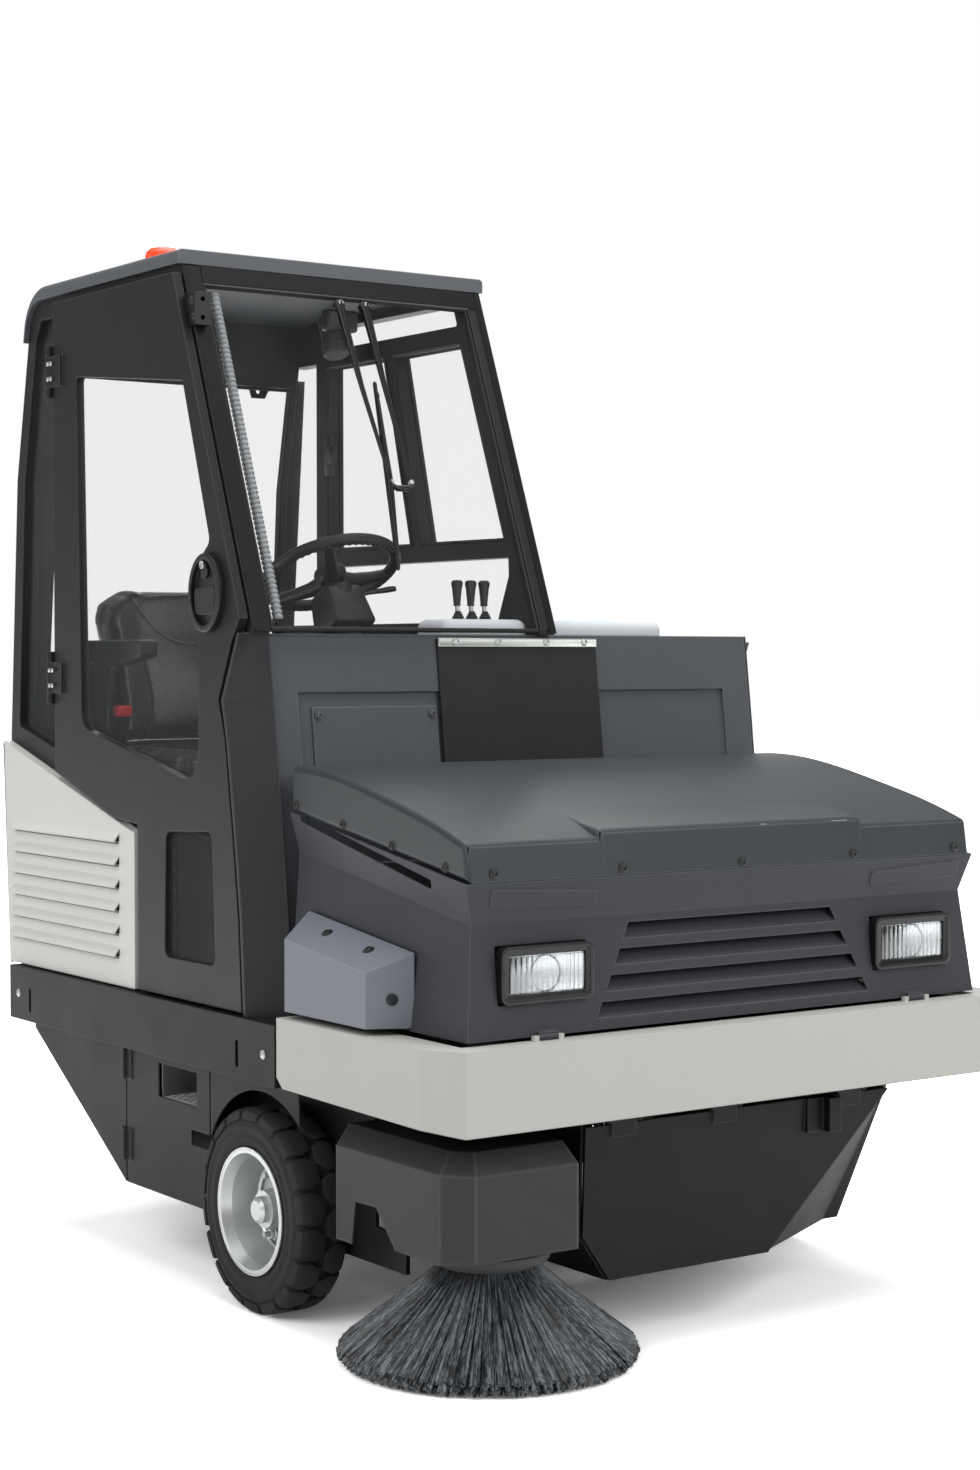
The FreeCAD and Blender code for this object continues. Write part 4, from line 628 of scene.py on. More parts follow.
class Bench:
    """Blender's own modelling steps, with the selection kept in hand."""

    def __init__(self, shelf: FinishShelf) -> None:
        """Keeps the finishes that pieces are dressed in."""
        self.shelf = shelf

    @staticmethod
    def clear() -> None:
        """Leaves object mode with nothing selected."""
        if bpy.context.object is not None and bpy.context.object.mode != "OBJECT":
            bpy.ops.object.mode_set(mode="OBJECT")
        bpy.ops.object.select_all(action="DESELECT")

    def only(self, piece: Piece) -> Piece:
        """Makes one piece selected and active.

        Args:
            piece: The piece.

        Returns:
            The same piece.
        """
        self.clear()
        piece.select_set(True)
        bpy.context.view_layer.objects.active = piece
        return piece

    def settle(self, name: str) -> Piece:
        """Names the active piece and puts its place into its mesh.

        Args:
            name: The new name.

        Returns:
            The piece.
        """
        piece = self.only(bpy.context.object)
        piece.name = name
        bpy.ops.object.transform_apply(location=True, rotation=True, scale=True)
        return piece

    def cube(self, name: str, low: Vector, high: Vector) -> Piece:
        """A box between two corners.

        Args:
            name: The piece's name.
            low: Its lower corner.
            high: Its upper corner.

        Returns:
            The piece.
        """
        self.clear()
        bpy.ops.mesh.primitive_cube_add(size=1, location=(low + high) / 2, scale=high - low)
        return self.settle(name)

    def drum(
            self, name: str, start: Vector, end: Vector, radius: float, sides: int = 24,
            end_radius: float | None = None) -> Piece:
        """A round bar or cone between two points.

        Args:
            name: The piece's name.
            start: Middle of its first end.
            end: Middle of its other end.
            radius: Radius at the start.
            sides: Number of flats.
            end_radius: Radius at the other end, if it tapers.

        Returns:
            The piece.
        """
        self.clear()
        span = end - start
        turn = Z.rotation_difference(span.normalized()).to_euler()
        bpy.ops.mesh.primitive_cone_add(
            vertices=sides, radius1=radius, radius2=radius if end_radius is None else end_radius,
            depth=span.length, location=(start + end) / 2, rotation=turn)
        return self.settle(name)

    def ball(self, name: str, centre: Vector, radius: float, rings: int = 12) -> Piece:
        """A ball.

        Args:
            name: The piece's name.
            centre: Its middle.
            radius: Its radius.
            rings: Half the number of flats round it.

        Returns:
            The piece.
        """
        self.clear()
        bpy.ops.mesh.primitive_uv_sphere_add(
            segments=rings * 2, ring_count=rings, radius=radius, location=centre)
        return self.settle(name)

    @staticmethod
    def edit(kind: str, action: str = "SELECT") -> None:
        """Enters edit mode on vertices, edges or faces, with all or none of them selected.

        Args:
            kind: VERT, EDGE or FACE.
            action: SELECT or DESELECT.
        """
        bpy.ops.object.mode_set(mode="EDIT")
        bpy.ops.mesh.select_mode(type=kind)
        bpy.ops.mesh.select_all(action=action)

    @staticmethod
    def leave() -> None:
        """Turns every face outwards and leaves edit mode."""
        bpy.ops.mesh.select_all(action="SELECT")
        bpy.ops.mesh.normals_make_consistent(inside=False)
        bpy.ops.object.mode_set(mode="OBJECT")

    @staticmethod
    def divide(cuts: int) -> None:
        """Cuts every face of the active piece into smaller ones.

        Args:
            cuts: Cuts along each edge.
        """
        bpy.ops.object.mode_set(mode="EDIT")
        bpy.ops.mesh.select_all(action="SELECT")
        bpy.ops.mesh.subdivide(number_cuts=cuts)
        bpy.ops.object.mode_set(mode="OBJECT")

    def draw(self, points: Sequence[Vector]) -> None:
        """Draws a line by extruding one point, and stays in edit mode with the line selected.

        Args:
            points: The line's corners in order.
        """
        self.clear()
        bpy.ops.mesh.primitive_plane_add(size=0.001, location=(0, 0, 0))
        self.edit("VERT")
        bpy.ops.mesh.merge(type="CENTER")
        bpy.ops.transform.translate(value=points[0])
        for before, after in zip(points, points[1:]):
            bpy.ops.mesh.extrude_region_move(TRANSFORM_OT_translate={"value": after - before})
        bpy.ops.mesh.select_all(action="SELECT")

    def change(self, piece: Piece, kind: str, **settings: Any) -> Piece:
        """Gives a piece a modifier and applies it.

        Args:
            piece: The piece.
            kind: The modifier's type.
            settings: Its properties.

        Returns:
            The same piece.
        """
        self.only(piece)
        modifier = piece.modifiers.new(kind.lower(), kind)
        for key, value in settings.items():
            setattr(modifier, key, value)
        bpy.ops.object.modifier_apply(modifier=modifier.name)
        return piece

    def pick_faces(self, piece: Piece, test: Callable[[Vector, Vector], bool]) -> None:
        """Enters edit mode with the faces selected that pass a test of centre and normal.

        Args:
            piece: The piece.
            test: True for the faces to pick.
        """
        self.only(piece)
        self.edit("FACE", "DESELECT")
        for face in bmesh.from_edit_mesh(piece.data).faces:
            if test(face.calc_center_median(), face.normal):
                face.select_set(True)
        bmesh.update_edit_mesh(piece.data)

    def sink(self, piece: Piece, test: Callable[[Vector, Vector], bool], margin: float, move: Vector) -> None:
        """Insets the chosen faces and moves the new ones, for a recess or a raised field.

        Args:
            piece: The piece.
            test: True for the faces to move.
            margin: Width of the rim left round them.
            move: How far and which way they move.
        """
        self.pick_faces(piece, test)
        bpy.ops.mesh.inset(thickness=margin, depth=0, use_individual=False)
        bpy.ops.mesh.extrude_region_move(TRANSFORM_OT_translate={"value": move})
        bpy.ops.object.mode_set(mode="OBJECT")

    def bevel(self, piece: Piece, width: float, steps: int = 2, angle: float = 30.0) -> Piece:
        """Rounds the edges sharper than an angle.

        Args:
            piece: The piece.
            width: Width of the rounding.
            steps: Flats across it.
            angle: Smallest angle that is rounded, in degrees.

        Returns:
            The same piece.
        """
        self.change(
            piece, "BEVEL", width=width, segments=steps, limit_method="ANGLE",
            angle_limit=math.radians(angle))
        bpy.ops.object.shade_smooth_by_angle(angle=SMOOTH_ANGLE)
        return piece

    def subdivide(self, piece: Piece, levels: int) -> Piece:
        """Smooths a cage by subdivision.

        Args:
            piece: The piece.
            levels: How often it is divided.

        Returns:
            The same piece.
        """
        self.change(piece, "SUBSURF", levels=levels, render_levels=levels)
        bpy.ops.object.shade_smooth()
        return piece

    def lathe(
            self, name: str, profile: Sequence[tuple[float, float]], centre: Vector, axis: Vector,
            steps: int = 48) -> Piece:
        """Draws half a section by extruding a point, then spins it.

        Args:
            name: The piece's name.
            profile: Radius and place along the axis, in millimetres.
            centre: Where the axis has its zero.
            axis: Direction of the axis.
            steps: Flats round the axis.

        Returns:
            The piece.
        """
        self.draw([Vector((radius, 0, along)) / MM_PER_METRE for radius, along in profile])
        bpy.ops.mesh.spin(steps=steps, angle=math.tau, center=(0, 0, 0), axis=(0, 0, 1))
        bpy.ops.mesh.select_all(action="SELECT")
        bpy.ops.mesh.remove_doubles(threshold=0.00001)
        self.leave()
        bpy.context.object.data.transform(facing(centre, axis))
        piece = self.settle(name)
        bpy.ops.object.shade_smooth_by_angle(angle=SMOOTH_ANGLE)
        return piece

    def hose(
            self, name: str, points: Sequence[Vector], radius: float, sides: int = 4,
            smooth: bool = True) -> Piece:
        """A round tube along points, drawn as a curve and made a mesh.

        Args:
            name: The piece's name.
            points: Points along its middle.
            radius: Its radius.
            sides: A quarter of the flats round it.
            smooth: Whether it bends softly at the points.

        Returns:
            The piece.
        """
        self.clear()
        data = bpy.data.curves.new(name, "CURVE")
        data.dimensions = "3D"
        data.bevel_depth = radius
        data.bevel_resolution = sides
        data.use_fill_caps = True
        line = data.splines.new("NURBS" if smooth else "POLY")
        line.points.add(len(points) - 1)
        for knot, point in zip(line.points, points):
            knot.co = (*point, 1.0)
        if smooth:
            line.order_u = 3
            line.use_endpoint_u = True
        piece = bpy.data.objects.new(name, data)
        bpy.context.scene.collection.objects.link(piece)
        self.only(piece)
        bpy.ops.object.convert(target="MESH")
        piece = self.settle(name)
        bpy.ops.object.shade_smooth_by_angle(angle=math.radians(40))
        return piece

    def stalk(self, name: str, points: Sequence[Vector], radii: Sequence[float], sides: int = 12) -> Piece:
        """Draws a tapered bar by extruding a ring along points and scaling it.

        Args:
            name: The piece's name.
            points: Middles of its rings.
            radii: Radius of each ring in metres.
            sides: Corners of each ring.

        Returns:
            The piece.
        """
        self.clear()
        turn = Z.rotation_difference((points[-1] - points[0]).normalized()).to_euler()
        bpy.ops.mesh.primitive_circle_add(
            vertices=sides, radius=radii[0], fill_type="NGON", location=points[0], rotation=turn)
        bpy.ops.object.transform_apply(location=True, rotation=True, scale=True)
        self.edit("FACE")
        for i in range(1, len(points)):
            bpy.ops.mesh.extrude_region_move(TRANSFORM_OT_translate={"value": points[i] - points[i - 1]})
            grow = radii[i] / radii[i - 1]
            bpy.ops.transform.resize(value=(grow, grow, grow), center_override=points[i])
        self.leave()
        piece = self.settle(name)
        bpy.ops.object.shade_smooth_by_angle(angle=math.radians(50))
        return piece

    def slab(self, name: str, outline: Sequence[Vector], rise: Vector) -> Piece:
        """Draws a flat outline by extruding a point, fills it and extrudes it.

        Args:
            name: The piece's name.
            outline: Its corners in order.
            rise: Direction and length of the extrusion.

        Returns:
            The piece.
        """
        self.draw(outline)
        bpy.ops.mesh.edge_face_add()
        bpy.ops.mesh.extrude_region_move(TRANSFORM_OT_translate={"value": rise})
        self.leave()
        return self.settle(name)

    def trim(self, piece: Piece, tool: Piece, operation: str) -> Piece:
        """Cuts a piece with another, or keeps what they share, and drops the other.

        Args:
            piece: The piece that stays.
            tool: The piece that goes.
            operation: DIFFERENCE or INTERSECT.

        Returns:
            The piece that stays.
        """
        self.change(piece, "BOOLEAN", operation=operation, solver="EXACT", object=tool)
        bpy.data.objects.remove(tool)
        return piece

    def round_corners(self, piece: Piece, axis: Vector, radius: float) -> Piece:
        """Rounds the edges that run along an axis.

        Args:
            piece: The piece.
            axis: The way the edges run.
            radius: Radius of the rounding.

        Returns:
            The same piece.
        """
        self.only(piece)
        self.edit("EDGE", "DESELECT")
        for edge in bmesh.from_edit_mesh(piece.data).edges:
            run = edge.verts[1].co - edge.verts[0].co
            if run.length > 0 and abs(run.normalized().dot(axis)) > 0.99:
                edge.select_set(True)
        bmesh.update_edit_mesh(piece.data)
        bpy.ops.mesh.bevel(offset=radius, segments=5, affect="EDGES")
        bpy.ops.object.mode_set(mode="OBJECT")
        return piece

    def copies(self, name: str, pattern: Piece, places: Iterable[Matrix]) -> Piece:
        """Copies a pattern to places, joins the copies and drops the pattern.

        Args:
            name: Name of the joined piece.
            pattern: The piece that is copied.
            places: Where the copies go.

        Returns:
            The joined piece.
        """
        made = []
        for matrix in places:
            twin = pattern.copy()
            twin.data = pattern.data.copy()
            twin.data.transform(matrix)
            bpy.context.scene.collection.objects.link(twin)
            made.append(twin)
        bpy.data.objects.remove(pattern)
        return self.join(name, made)

    def join(self, name: str, pieces: Sequence[Piece]) -> Piece:
        """Joins pieces into one.

        Args:
            name: Name of the joined piece.
            pieces: One piece or more.

        Returns:
            The joined piece.
        """
        self.clear()
        for piece in pieces:
            piece.select_set(True)
        bpy.context.view_layer.objects.active = pieces[0]
        if len(pieces) > 1:
            bpy.ops.object.join()
        piece = bpy.context.object
        piece.name = name
        return piece

    def dress(self, piece: Piece, finish: str, body: str, *hidden: str) -> Piece:
        """Gives a piece its finish and body, and hides the nodes that it stands for.

        Args:
            piece: The piece.
            finish: Its finish.
            body: The body it rides on.
            hidden: Nodes that it stands for.

        Returns:
            The same piece.
        """
        piece.data.materials.clear()
        piece.data.materials.append(self.shelf.get(finish))
        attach(piece, body)
        self.shelf.SLOTS.get(finish, finish)
        if hidden:
            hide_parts(*hidden)
        log.info("%s: %d faces, %s on %s", piece.name, len(piece.data.polygons), finish, body)
        return piece


@dataclass
class Studio:
    """Floor, lamps and the camera."""

    datum: Datum
    eye: Place = (4420.0, -3206.0, 1320.0)
    forward: Place = (-0.8170, 0.5757, -0.0304)
    lens: float = 62.1

    def camera(self) -> None:
        """Sets up the camera where the photograph was taken."""
        data = bpy.data.cameras.new("camera")
        data.lens = self.lens
        data.sensor_width = 36.0
        camera = bpy.data.objects.new("camera", data)
        bpy.context.scene.collection.objects.link(camera)
        camera.location = self.datum.at(*self.eye)
        camera.rotation_euler = Vector(self.forward).to_track_quat("-Z", "Y").to_euler()
        bpy.context.scene.camera = camera

    def floor(self) -> None:
        """Lays a white floor that keeps the shadow."""
        bpy.ops.object.select_all(action="DESELECT")
        bpy.ops.mesh.primitive_plane_add(size=60, location=(0, 0, 0))
        floor = bpy.context.object
        floor.name = "floor"
        g = Graph("floor_white")
        matt = g.node("ShaderNodeBsdfDiffuse", None, {"Color": (0.62, 0.62, 0.62, 1), "Roughness": 0.6})
        bright = g.node("ShaderNodeBsdfDiffuse", None, {"Color": (1, 1, 1, 1), "Roughness": 0.6})
        away = g.signal("ShaderNodeVectorMath", {"operation": "LENGTH"}, {0: g.place()}, output="Value")
        far = ((away - 1.3) * 0.45).clamped()
        own = g.node("ShaderNodeEmission", None, {"Color": g.blend(far, (0.06, 0.06, 0.06, 1), (1, 1, 1, 1))})
        seen = bright
        for layer in (matt, own):
            both = g.node("ShaderNodeAddShader")
            g.tree.links.new(seen.outputs[0], both.inputs[0])
            g.tree.links.new(layer.outputs[0], both.inputs[1])
            seen = both
        path = g.node("ShaderNodeLightPath")
        rays = ("Is Camera Ray", "Is Glossy Ray", "Is Transmission Ray")
        camera, glossy, through = (Signal(g, path.outputs[ray]) for ray in rays)
        direct = (camera + glossy + through).clamped()
        floor.data.materials.append(g.finish(g.mixed(direct, matt, seen)))

    def lamp(self, name: str, spot: Place, target: Place, size: float, power: float) -> None:
        """Adds a square soft lamp.

        Args:
            name: The lamp's name.
            spot: Where it hangs, in metres.
            target: What it points at, in metres.
            size: Length of its side in metres.
            power: Its power in watts.
        """
        data = bpy.data.lights.new(name, "AREA")
        data.shape = "SQUARE"
        data.size = size
        data.energy = power
        lamp = bpy.data.objects.new(name, data)
        bpy.context.scene.collection.objects.link(lamp)
        lamp.location = spot
        lamp.rotation_euler = (Vector(target) - Vector(spot)).to_track_quat("-Z", "Y").to_euler()

    def light(self) -> None:
        """Hangs the lamps and sets an even white world."""
        self.lamp("key", (1.0, -5.5, 4.5), (0, 0, 0.9), 4.0, 160)
        self.lamp("front", (6.0, 1.5, 4.0), (0, 0, 0.9), 4.0, 185)
        self.lamp("top", (0.0, 0.5, 6.0), (0, 0, 0.0), 5.0, 300)
        self.lamp("back", (-5.0, 3.0, 4.0), (0, 0, 0.9), 3.0, 110)
        world = bpy.data.worlds.new("studio")
        bpy.context.scene.world = world
        world.use_nodes = True
        tree = world.node_tree
        tree.nodes.clear()
        output = tree.nodes.new("ShaderNodeOutputWorld")
        mix = tree.nodes.new("ShaderNodeMixShader")
        soft = tree.nodes.new("ShaderNodeBackground")
        soft.inputs["Strength"].default_value = 0.36
        white = tree.nodes.new("ShaderNodeBackground")
        white.inputs["Strength"].default_value = 1.0
        for shader in (soft, white):
            shader.inputs["Color"].default_value = (1, 1, 1, 1)
        path = tree.nodes.new("ShaderNodeLightPath")
        seen = tree.nodes.new("ShaderNodeMath")
        seen.operation = "ADD"
        seen.use_clamp = True
        tree.links.new(path.outputs["Is Camera Ray"], seen.inputs[0])
        tree.links.new(path.outputs["Is Transmission Ray"], seen.inputs[1])
        tree.links.new(seen.outputs[0], mix.inputs[0])
        tree.links.new(soft.outputs[0], mix.inputs[1])
        tree.links.new(white.outputs[0], mix.inputs[2])
        tree.links.new(mix.outputs[0], output.inputs["Surface"])

    def build(self) -> None:
        """Sets up everything round the vehicle."""
        self.camera()
        self.floor()
        self.light()
        bpy.context.scene.view_settings.view_transform = "Standard"


# Sub-assemblies

def screen_x(z: float) -> float:
    """X of the windscreen's outer plane at a height, both in millimetres."""
    return SCREEN_TOP[0] + (SCREEN_TOP[1] - z) * SCREEN_LEAN


def around(count: int, radius: float, height: float = 0.0) -> list[Matrix]:
    """Places spread evenly round the Z axis, with radius and height in metres."""
    out = Matrix.Translation((radius, 0, height))
    return [Matrix.Rotation(math.tau * i / count, 4, "Z") @ out for i in range(count)]


def round_section(middle: float, thick: float, corners: int) -> list[tuple[float, float]]:
    """Section of a ring: radius to its middle, radius of its section and the corners of that."""
    angles = [math.tau * k / corners for k in range(corners + 1)]
    return [(middle + thick * math.cos(a), thick * math.sin(a)) for a in angles]


@dataclass
class Part:
    """What every sub-assembly needs: the bench and the datum."""

    bench: Bench
    datum: Datum

    def at(self, x: float, y: float, z: float) -> Vector:
        """Place of a point in millimetres from the front axle."""
        return self.datum.at(x, y, z)

    def line(self, *spots: Place) -> list[Vector]:
        """Places of several points in millimetres from the front axle."""
        return [self.at(*spot) for spot in spots]

    def box(self, name: str, low: Place, high: Place, edge: float = 0.0, steps: int = 2) -> Piece:
        """A box between corners in millimetres from the axle, its edges rounded by metres in steps."""
        piece = self.bench.cube(name, self.at(*low), self.at(*high))
        return self.bench.bevel(piece, edge, steps) if edge else piece

    def keep(self, name: str, pieces: Sequence[Piece], finish: str, body: str, *hidden: str) -> Piece:
        """Joins pieces into one and dresses it."""
        return self.bench.dress(self.bench.join(name, pieces), finish, body, *hidden)


@dataclass
class Fasteners(Part):
    """Button-head screws with round sockets."""

    radius: float = 7.5
    height: float = 4.5
    lid_line: tuple[Place, ...] = ((104, 632, 1029), (276, 632, 999), (449, 632, 969), (626, 632, 940))
    lip_line: tuple[Place, ...] = (
        (701, -575, 931), (701, -280, 927), (701, 13, 925), (701, 305, 928), (701, 588, 929))
    strip_line: tuple[float, ...] = (-178, -69, 59, 162)

    def screws(
            self, name: str, finish: str, body: str, spots: Sequence[tuple[Place, Place]],
            scale: float = 1.0) -> None:
        """Sets screws on a surface.

        Args:
            name: The piece's name.
            finish: Its finish.
            body: The body it rides on.
            spots: Place and normal of each screw.
            scale: Size against the usual screw.
        """
        r = self.radius * scale
        h = self.height * scale
        head = self.bench.lathe(
            name, [(0, -1), (r * 1.35, -1), (r * 1.35, 0.7), (r, 0.8), (r, 0.3 * h), (0.86 * r, 0.75 * h),
            (0.5 * r, h), (0.42 * r, h), (0.4 * r, 0.3 * h), (0, 0.3 * h)], Vector(), Z, 18)
        piece = self.bench.copies(
            name, head, [facing(self.at(*spot), Vector(normal)) for spot, normal in spots])
        self.bench.dress(piece, finish, body)

    def build(self) -> None:
        """Sets every row of screws."""
        lid = [((x, side.value * y, z), (0, side.value, 0)) for side in Side for x, y, z in self.lid_line]
        lid += [(spot, (1, 0, 0)) for spot in self.lip_line]
        self.screws("lid_screws", "black_plastic", "hood", lid)
        box = [((x, -664, z), (0.11, -0.43, 0.9)) for x, z in ((270, 792), (418, 773))]
        box.append(((507, -670, 690), (0.9, -0.43, 0)))
        self.screws("box_screws", "black_plastic", "hood", box, 1.15)
        hatch = [((6.5, y, 1204), (1, 0, 0.12)) for y in (-521, -243)]
        self.screws("hatch_screws", "steel_grey", "root", hatch, 0.9)
        strip = [((-0.8, y, 1354), (1, 0, 0.1)) for y in self.strip_line]
        self.screws("strip_bolts", "zinc", "root", strip, 0.8)
        hinges = [((x, -714, z), (0, -1, 0)) for z in (1258, 1292, 1948, 1982) for x in (-849, -834)]
        self.screws("door_hinge_screws", "zinc", "cab_door", hinges, 0.55)
        beams = [((x, side.value * 715, 541), (0, side.value, 0)) for side in Side for x in (-1020, 110)]
        self.screws("beam_screws", "zinc", "root", beams, 0.9)
        bracket = [((x, -686, z), (0.1, -1, 0)) for x, z in ((-224, 2057), (-215, 2022))]
        self.screws("bracket_bolts", "black_plastic", "root", bracket, 0.9)


@dataclass
class SolidTyre(Part):
    """Solid tyre with a stepped side wall and two staggered rows of blocks."""

    outer: float = 207.5
    half: float = 57.5
    depth: float = 11.0
    blocks: int = 18

    def carcass(self, name: str) -> Piece:
        """Spins the body below the blocks about the Y axis.

        Args:
            name: The piece's name.

        Returns:
            The piece.
        """
        side = [
            (127.5, 49.5), (143, 57.4), (150, 57.5), (152, 56.3), (166, 56.3), (168, 57.4), (173, 57),
            (186, 51), (194, 44), (self.outer - self.depth, 36)]
        profile = side + [(radius, -along) for radius, along in reversed(side)] + side[:1]
        return self.bench.lathe(name, profile, Vector(), Y, 72)

    def block(self) -> Piece:
        """One block of the tread, standing at the top of the tyre.

        Returns:
            The block.
        """
        pitch = math.tau * self.outer / self.blocks
        low = self.outer - self.depth - 12
        outline = [
            (-0.40 * pitch, -self.half + 0.8), (0.34 * pitch, -self.half + 0.8), (0.43 * pitch, -26),
            (0.28 * pitch, -2.5), (-0.25 * pitch, -2.5), (-0.46 * pitch, -26)]
        piece = self.bench.slab(
            "block", [Vector((x, y, low)) / MM_PER_METRE for x, y in outline], Vector((0, 0, 0.04)))
        crown = self.bench.lathe(
            "crown", [(0, -self.half), (self.outer - 26, -self.half), (self.outer - 8, -53),
            (self.outer - 2, -46), (self.outer, -34), (self.outer, 34), (self.outer - 2, 46),
            (self.outer - 8, 53), (self.outer - 26, self.half), (0, self.half)], Vector(), Y, 144)
        self.bench.trim(piece, crown, "INTERSECT")
        return self.bench.bevel(piece, 0.0018, 2, 40)

    def build(self, name: str, node: str, body: str, centre: Place) -> None:
        """Builds one tyre.

        Args:
            name: The piece's name.
            node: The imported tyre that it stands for.
            body: The wheel's body.
            centre: Middle of the wheel.
        """
        block = self.block()
        step = math.tau / self.blocks
        turns = []
        for i in range(self.blocks):
            turns.append(Matrix.Rotation(i * step, 4, "Y"))
            turns.append(Matrix.Rotation((i + 0.5) * step, 4, "Y") @ Matrix.Rotation(math.pi, 4, "Z"))
        tread = self.bench.copies("tread", block, turns)
        tyre = self.bench.join(name, [self.carcass(name), tread])
        tyre.data.transform(Matrix.Translation(self.at(*centre)))
        self.bench.dress(tyre, "tyre_rubber", body, node)

    def rim_trim(self, name: str, body: str, centre: Place, side: Side) -> None:
        """Adds the bead ring, valve and washers to a rim.

        Args:
            name: The piece's name.
            body: The wheel's body.
            centre: Middle of the wheel.
            side: The side that the rim's dish faces.
        """
        out = Vector((0, side.value, 0))
        spot = self.at(*centre)
        ring = self.bench.lathe(
            "ring", [(120, 50), (126.5, 51), (129, 54), (128.5, 57), (125, 57.4), (122.5, 55), (119, 52),
            (120, 50)], spot, out, 64)
        inner = self.bench.lathe(
            "inner", [(88, -22.5), (92, -21), (93.5, -17), (91, -15.5), (87, -19), (88, -22.5)], spot, out,
            64)
        washer = self.bench.lathe(
            "washer", [(6, -22), (14.5, -22), (14.5, -20), (13, -19.2), (6, -19.2), (6, -22)], Vector(), Z,
            20)
        turn = facing(spot, out)
        washers = self.bench.copies("washers", washer, [turn @ place for place in around(6, 0.07)])
        bends = ((0.104, 0.012, 0.02), (0.100, 0.034, 0.018), (0.099, 0.040, 0.018))
        stem = [spot + Vector((x, side.value * y, z)) for x, y, z in bends]
        valve = self.bench.stalk("valve", stem, [0.0042, 0.0036, 0.003], 10)
        self.keep(name, [ring, inner, washers, valve], "rim_silver", body)


@dataclass
class SideBrush(Part):
    """Round brush with three rings of bristle bundles under a flanged plate."""

    x: float = 536.0
    y: float = -473.0
    tip: float = 288.5
    bundles: int = 72
    strands: int = 15

    def bristles(self) -> Piece:
        """Draws one straight bristle for each ring, gathers bundles and sets them round.

        Returns:
            All bristles, about the origin.
        """
        chance = random.Random(11)
        ends = ((self.tip - 5, 27.0), (self.tip - 2, 16.0), (self.tip - 8, 8.0))
        patterns = []
        for ring, (reach, low) in enumerate(ends):
            path = [(84, 184 - 4 * ring), (150, 184 - 4 * ring + (low - 182) * 0.36), (reach, low)]
            points = [Vector((radius, 0, z)) / MM_PER_METRE for radius, z in path]
            patterns.append(self.bench.stalk(f"bristle_{ring}", points, [0.0017, 0.0021, 0.0023], 4))
        places: list[list[Matrix]] = [[], [], []]
        for ring, shift in enumerate((0.0, 0.5, 0.0)):
            for i in range(self.bundles):
                bundle = math.tau * (i + shift) / self.bundles + chance.uniform(-0.006, 0.006)
                reach = 1 - abs(chance.gauss(0, 0.010))
                for _ in range(self.strands):
                    across = chance.uniform(-1, 1)
                    over = chance.uniform(-1, 1) * math.sqrt(1 - across * across)
                    turn = Matrix.Rotation(bundle + across * 0.026, 4, "Z")
                    length = min(1.0, reach * (1 - abs(chance.gauss(0, 0.005))))
                    size = Matrix.Diagonal((length, 1.0, 1.0, 1.0))
                    places[ring].append(Matrix.Translation((0, 0, over * 0.0045)) @ turn @ size)
        rings = [self.bench.copies("ring", pattern, spots) for pattern, spots in zip(patterns, places)]
        return self.bench.join("side_brush_bristles", rings)

    def build(self) -> None:
        """Builds the plate and the bristles."""
        middle = self.at(self.x, self.y, 0)
        bristles = self.bristles()
        bristles.data.transform(Matrix.Translation(middle))
        self.bench.dress(bristles, "bristle", "side_brush")
        plate = self.bench.lathe(
            "side_brush_plate", [(0, 176), (84, 176), (96, 182), (112, 190), (117, 197), (117.5, 208),
            (114, 212), (109, 213), (104, 210), (62, 210), (58, 214), (0, 214)], middle, Z, 64)
        shaft = self.bench.lathe("shaft", [(0, 210), (16, 210), (16, 231), (0, 231)], middle, Z, 24)
        bolt = self.bench.lathe("bolt", [(0, 209), (7, 209), (7, 215), (5, 217), (0, 217)], Vector(), Z, 6)
        bolts = self.bench.copies(
            "bolts", bolt, [Matrix.Translation(middle) @ place for place in around(6, 0.082)])
        self.keep("side_brush_plate", [plate, shaft, bolts], "plate_grey", "side_brush", "side_brush")
        veil = self.bench.lathe(
            "side_brush_core", [(84, 176), (90, 172), (140, 132), (200, 84), (238, 44), (236, 42),
            (196, 80), (136, 126), (86, 166), (80, 172), (84, 176)], middle, Z, 72)
        self.bench.dress(veil, "flap_rubber", "side_brush")


@dataclass
class MainBrush(Part):
    """Roller with chevron rows of bristle bundles."""

    x: float = -400.0
    z: float = 255.0
    reach: float = 144.5
    rows: int = 12
    half: float = 512.0
    per_row: int = 62
    chevron: float = math.radians(24)

    def build(self) -> None:
        """Builds the core and the bristles."""
        middle = self.at(self.x, 0, self.z)
        chance = random.Random(5)
        tip = Vector((0.004, 0, self.reach / MM_PER_METRE - 0.001))
        path = [Vector((0, 0, 0.054)), Vector((0.001, 0, 0.1)), tip]
        strand = self.bench.stalk("strand", path, [0.0026, 0.0034, 0.0042], 4)
        places = []
        for row in range(self.rows):
            for k in range(-self.per_row, self.per_row + 1):
                along = k / self.per_row
                angle = math.tau * row / self.rows + self.chevron * abs(along)
                angle += chance.uniform(-0.03, 0.03)
                turn = Matrix.Rotation(math.pi / 2 - angle, 4, "Y")
                size = Matrix.Diagonal((1, 1, 1 - chance.uniform(0, 0.02), 1))
                root = middle + Vector((0, along * self.half / MM_PER_METRE, 0))
                places.append(Matrix.Translation(root) @ turn @ size)
        rows = self.bench.copies("main_brush_bristles", strand, places)
        self.bench.dress(rows, "bristle", "main_brush")
        length = self.half + 8
        core = self.bench.lathe(
            "main_brush_core", [(0, -541), (17.2, -541), (17.2, -length), (50, -length), (54, -length + 4),
            (58, -length + 8), (58, length - 8), (54, length - 4), (50, length), (17.2, length),
            (17.2, 541), (0, 541)], middle, Y, 40)
        self.bench.dress(core, "black_plastic", "main_brush", "main_brush")


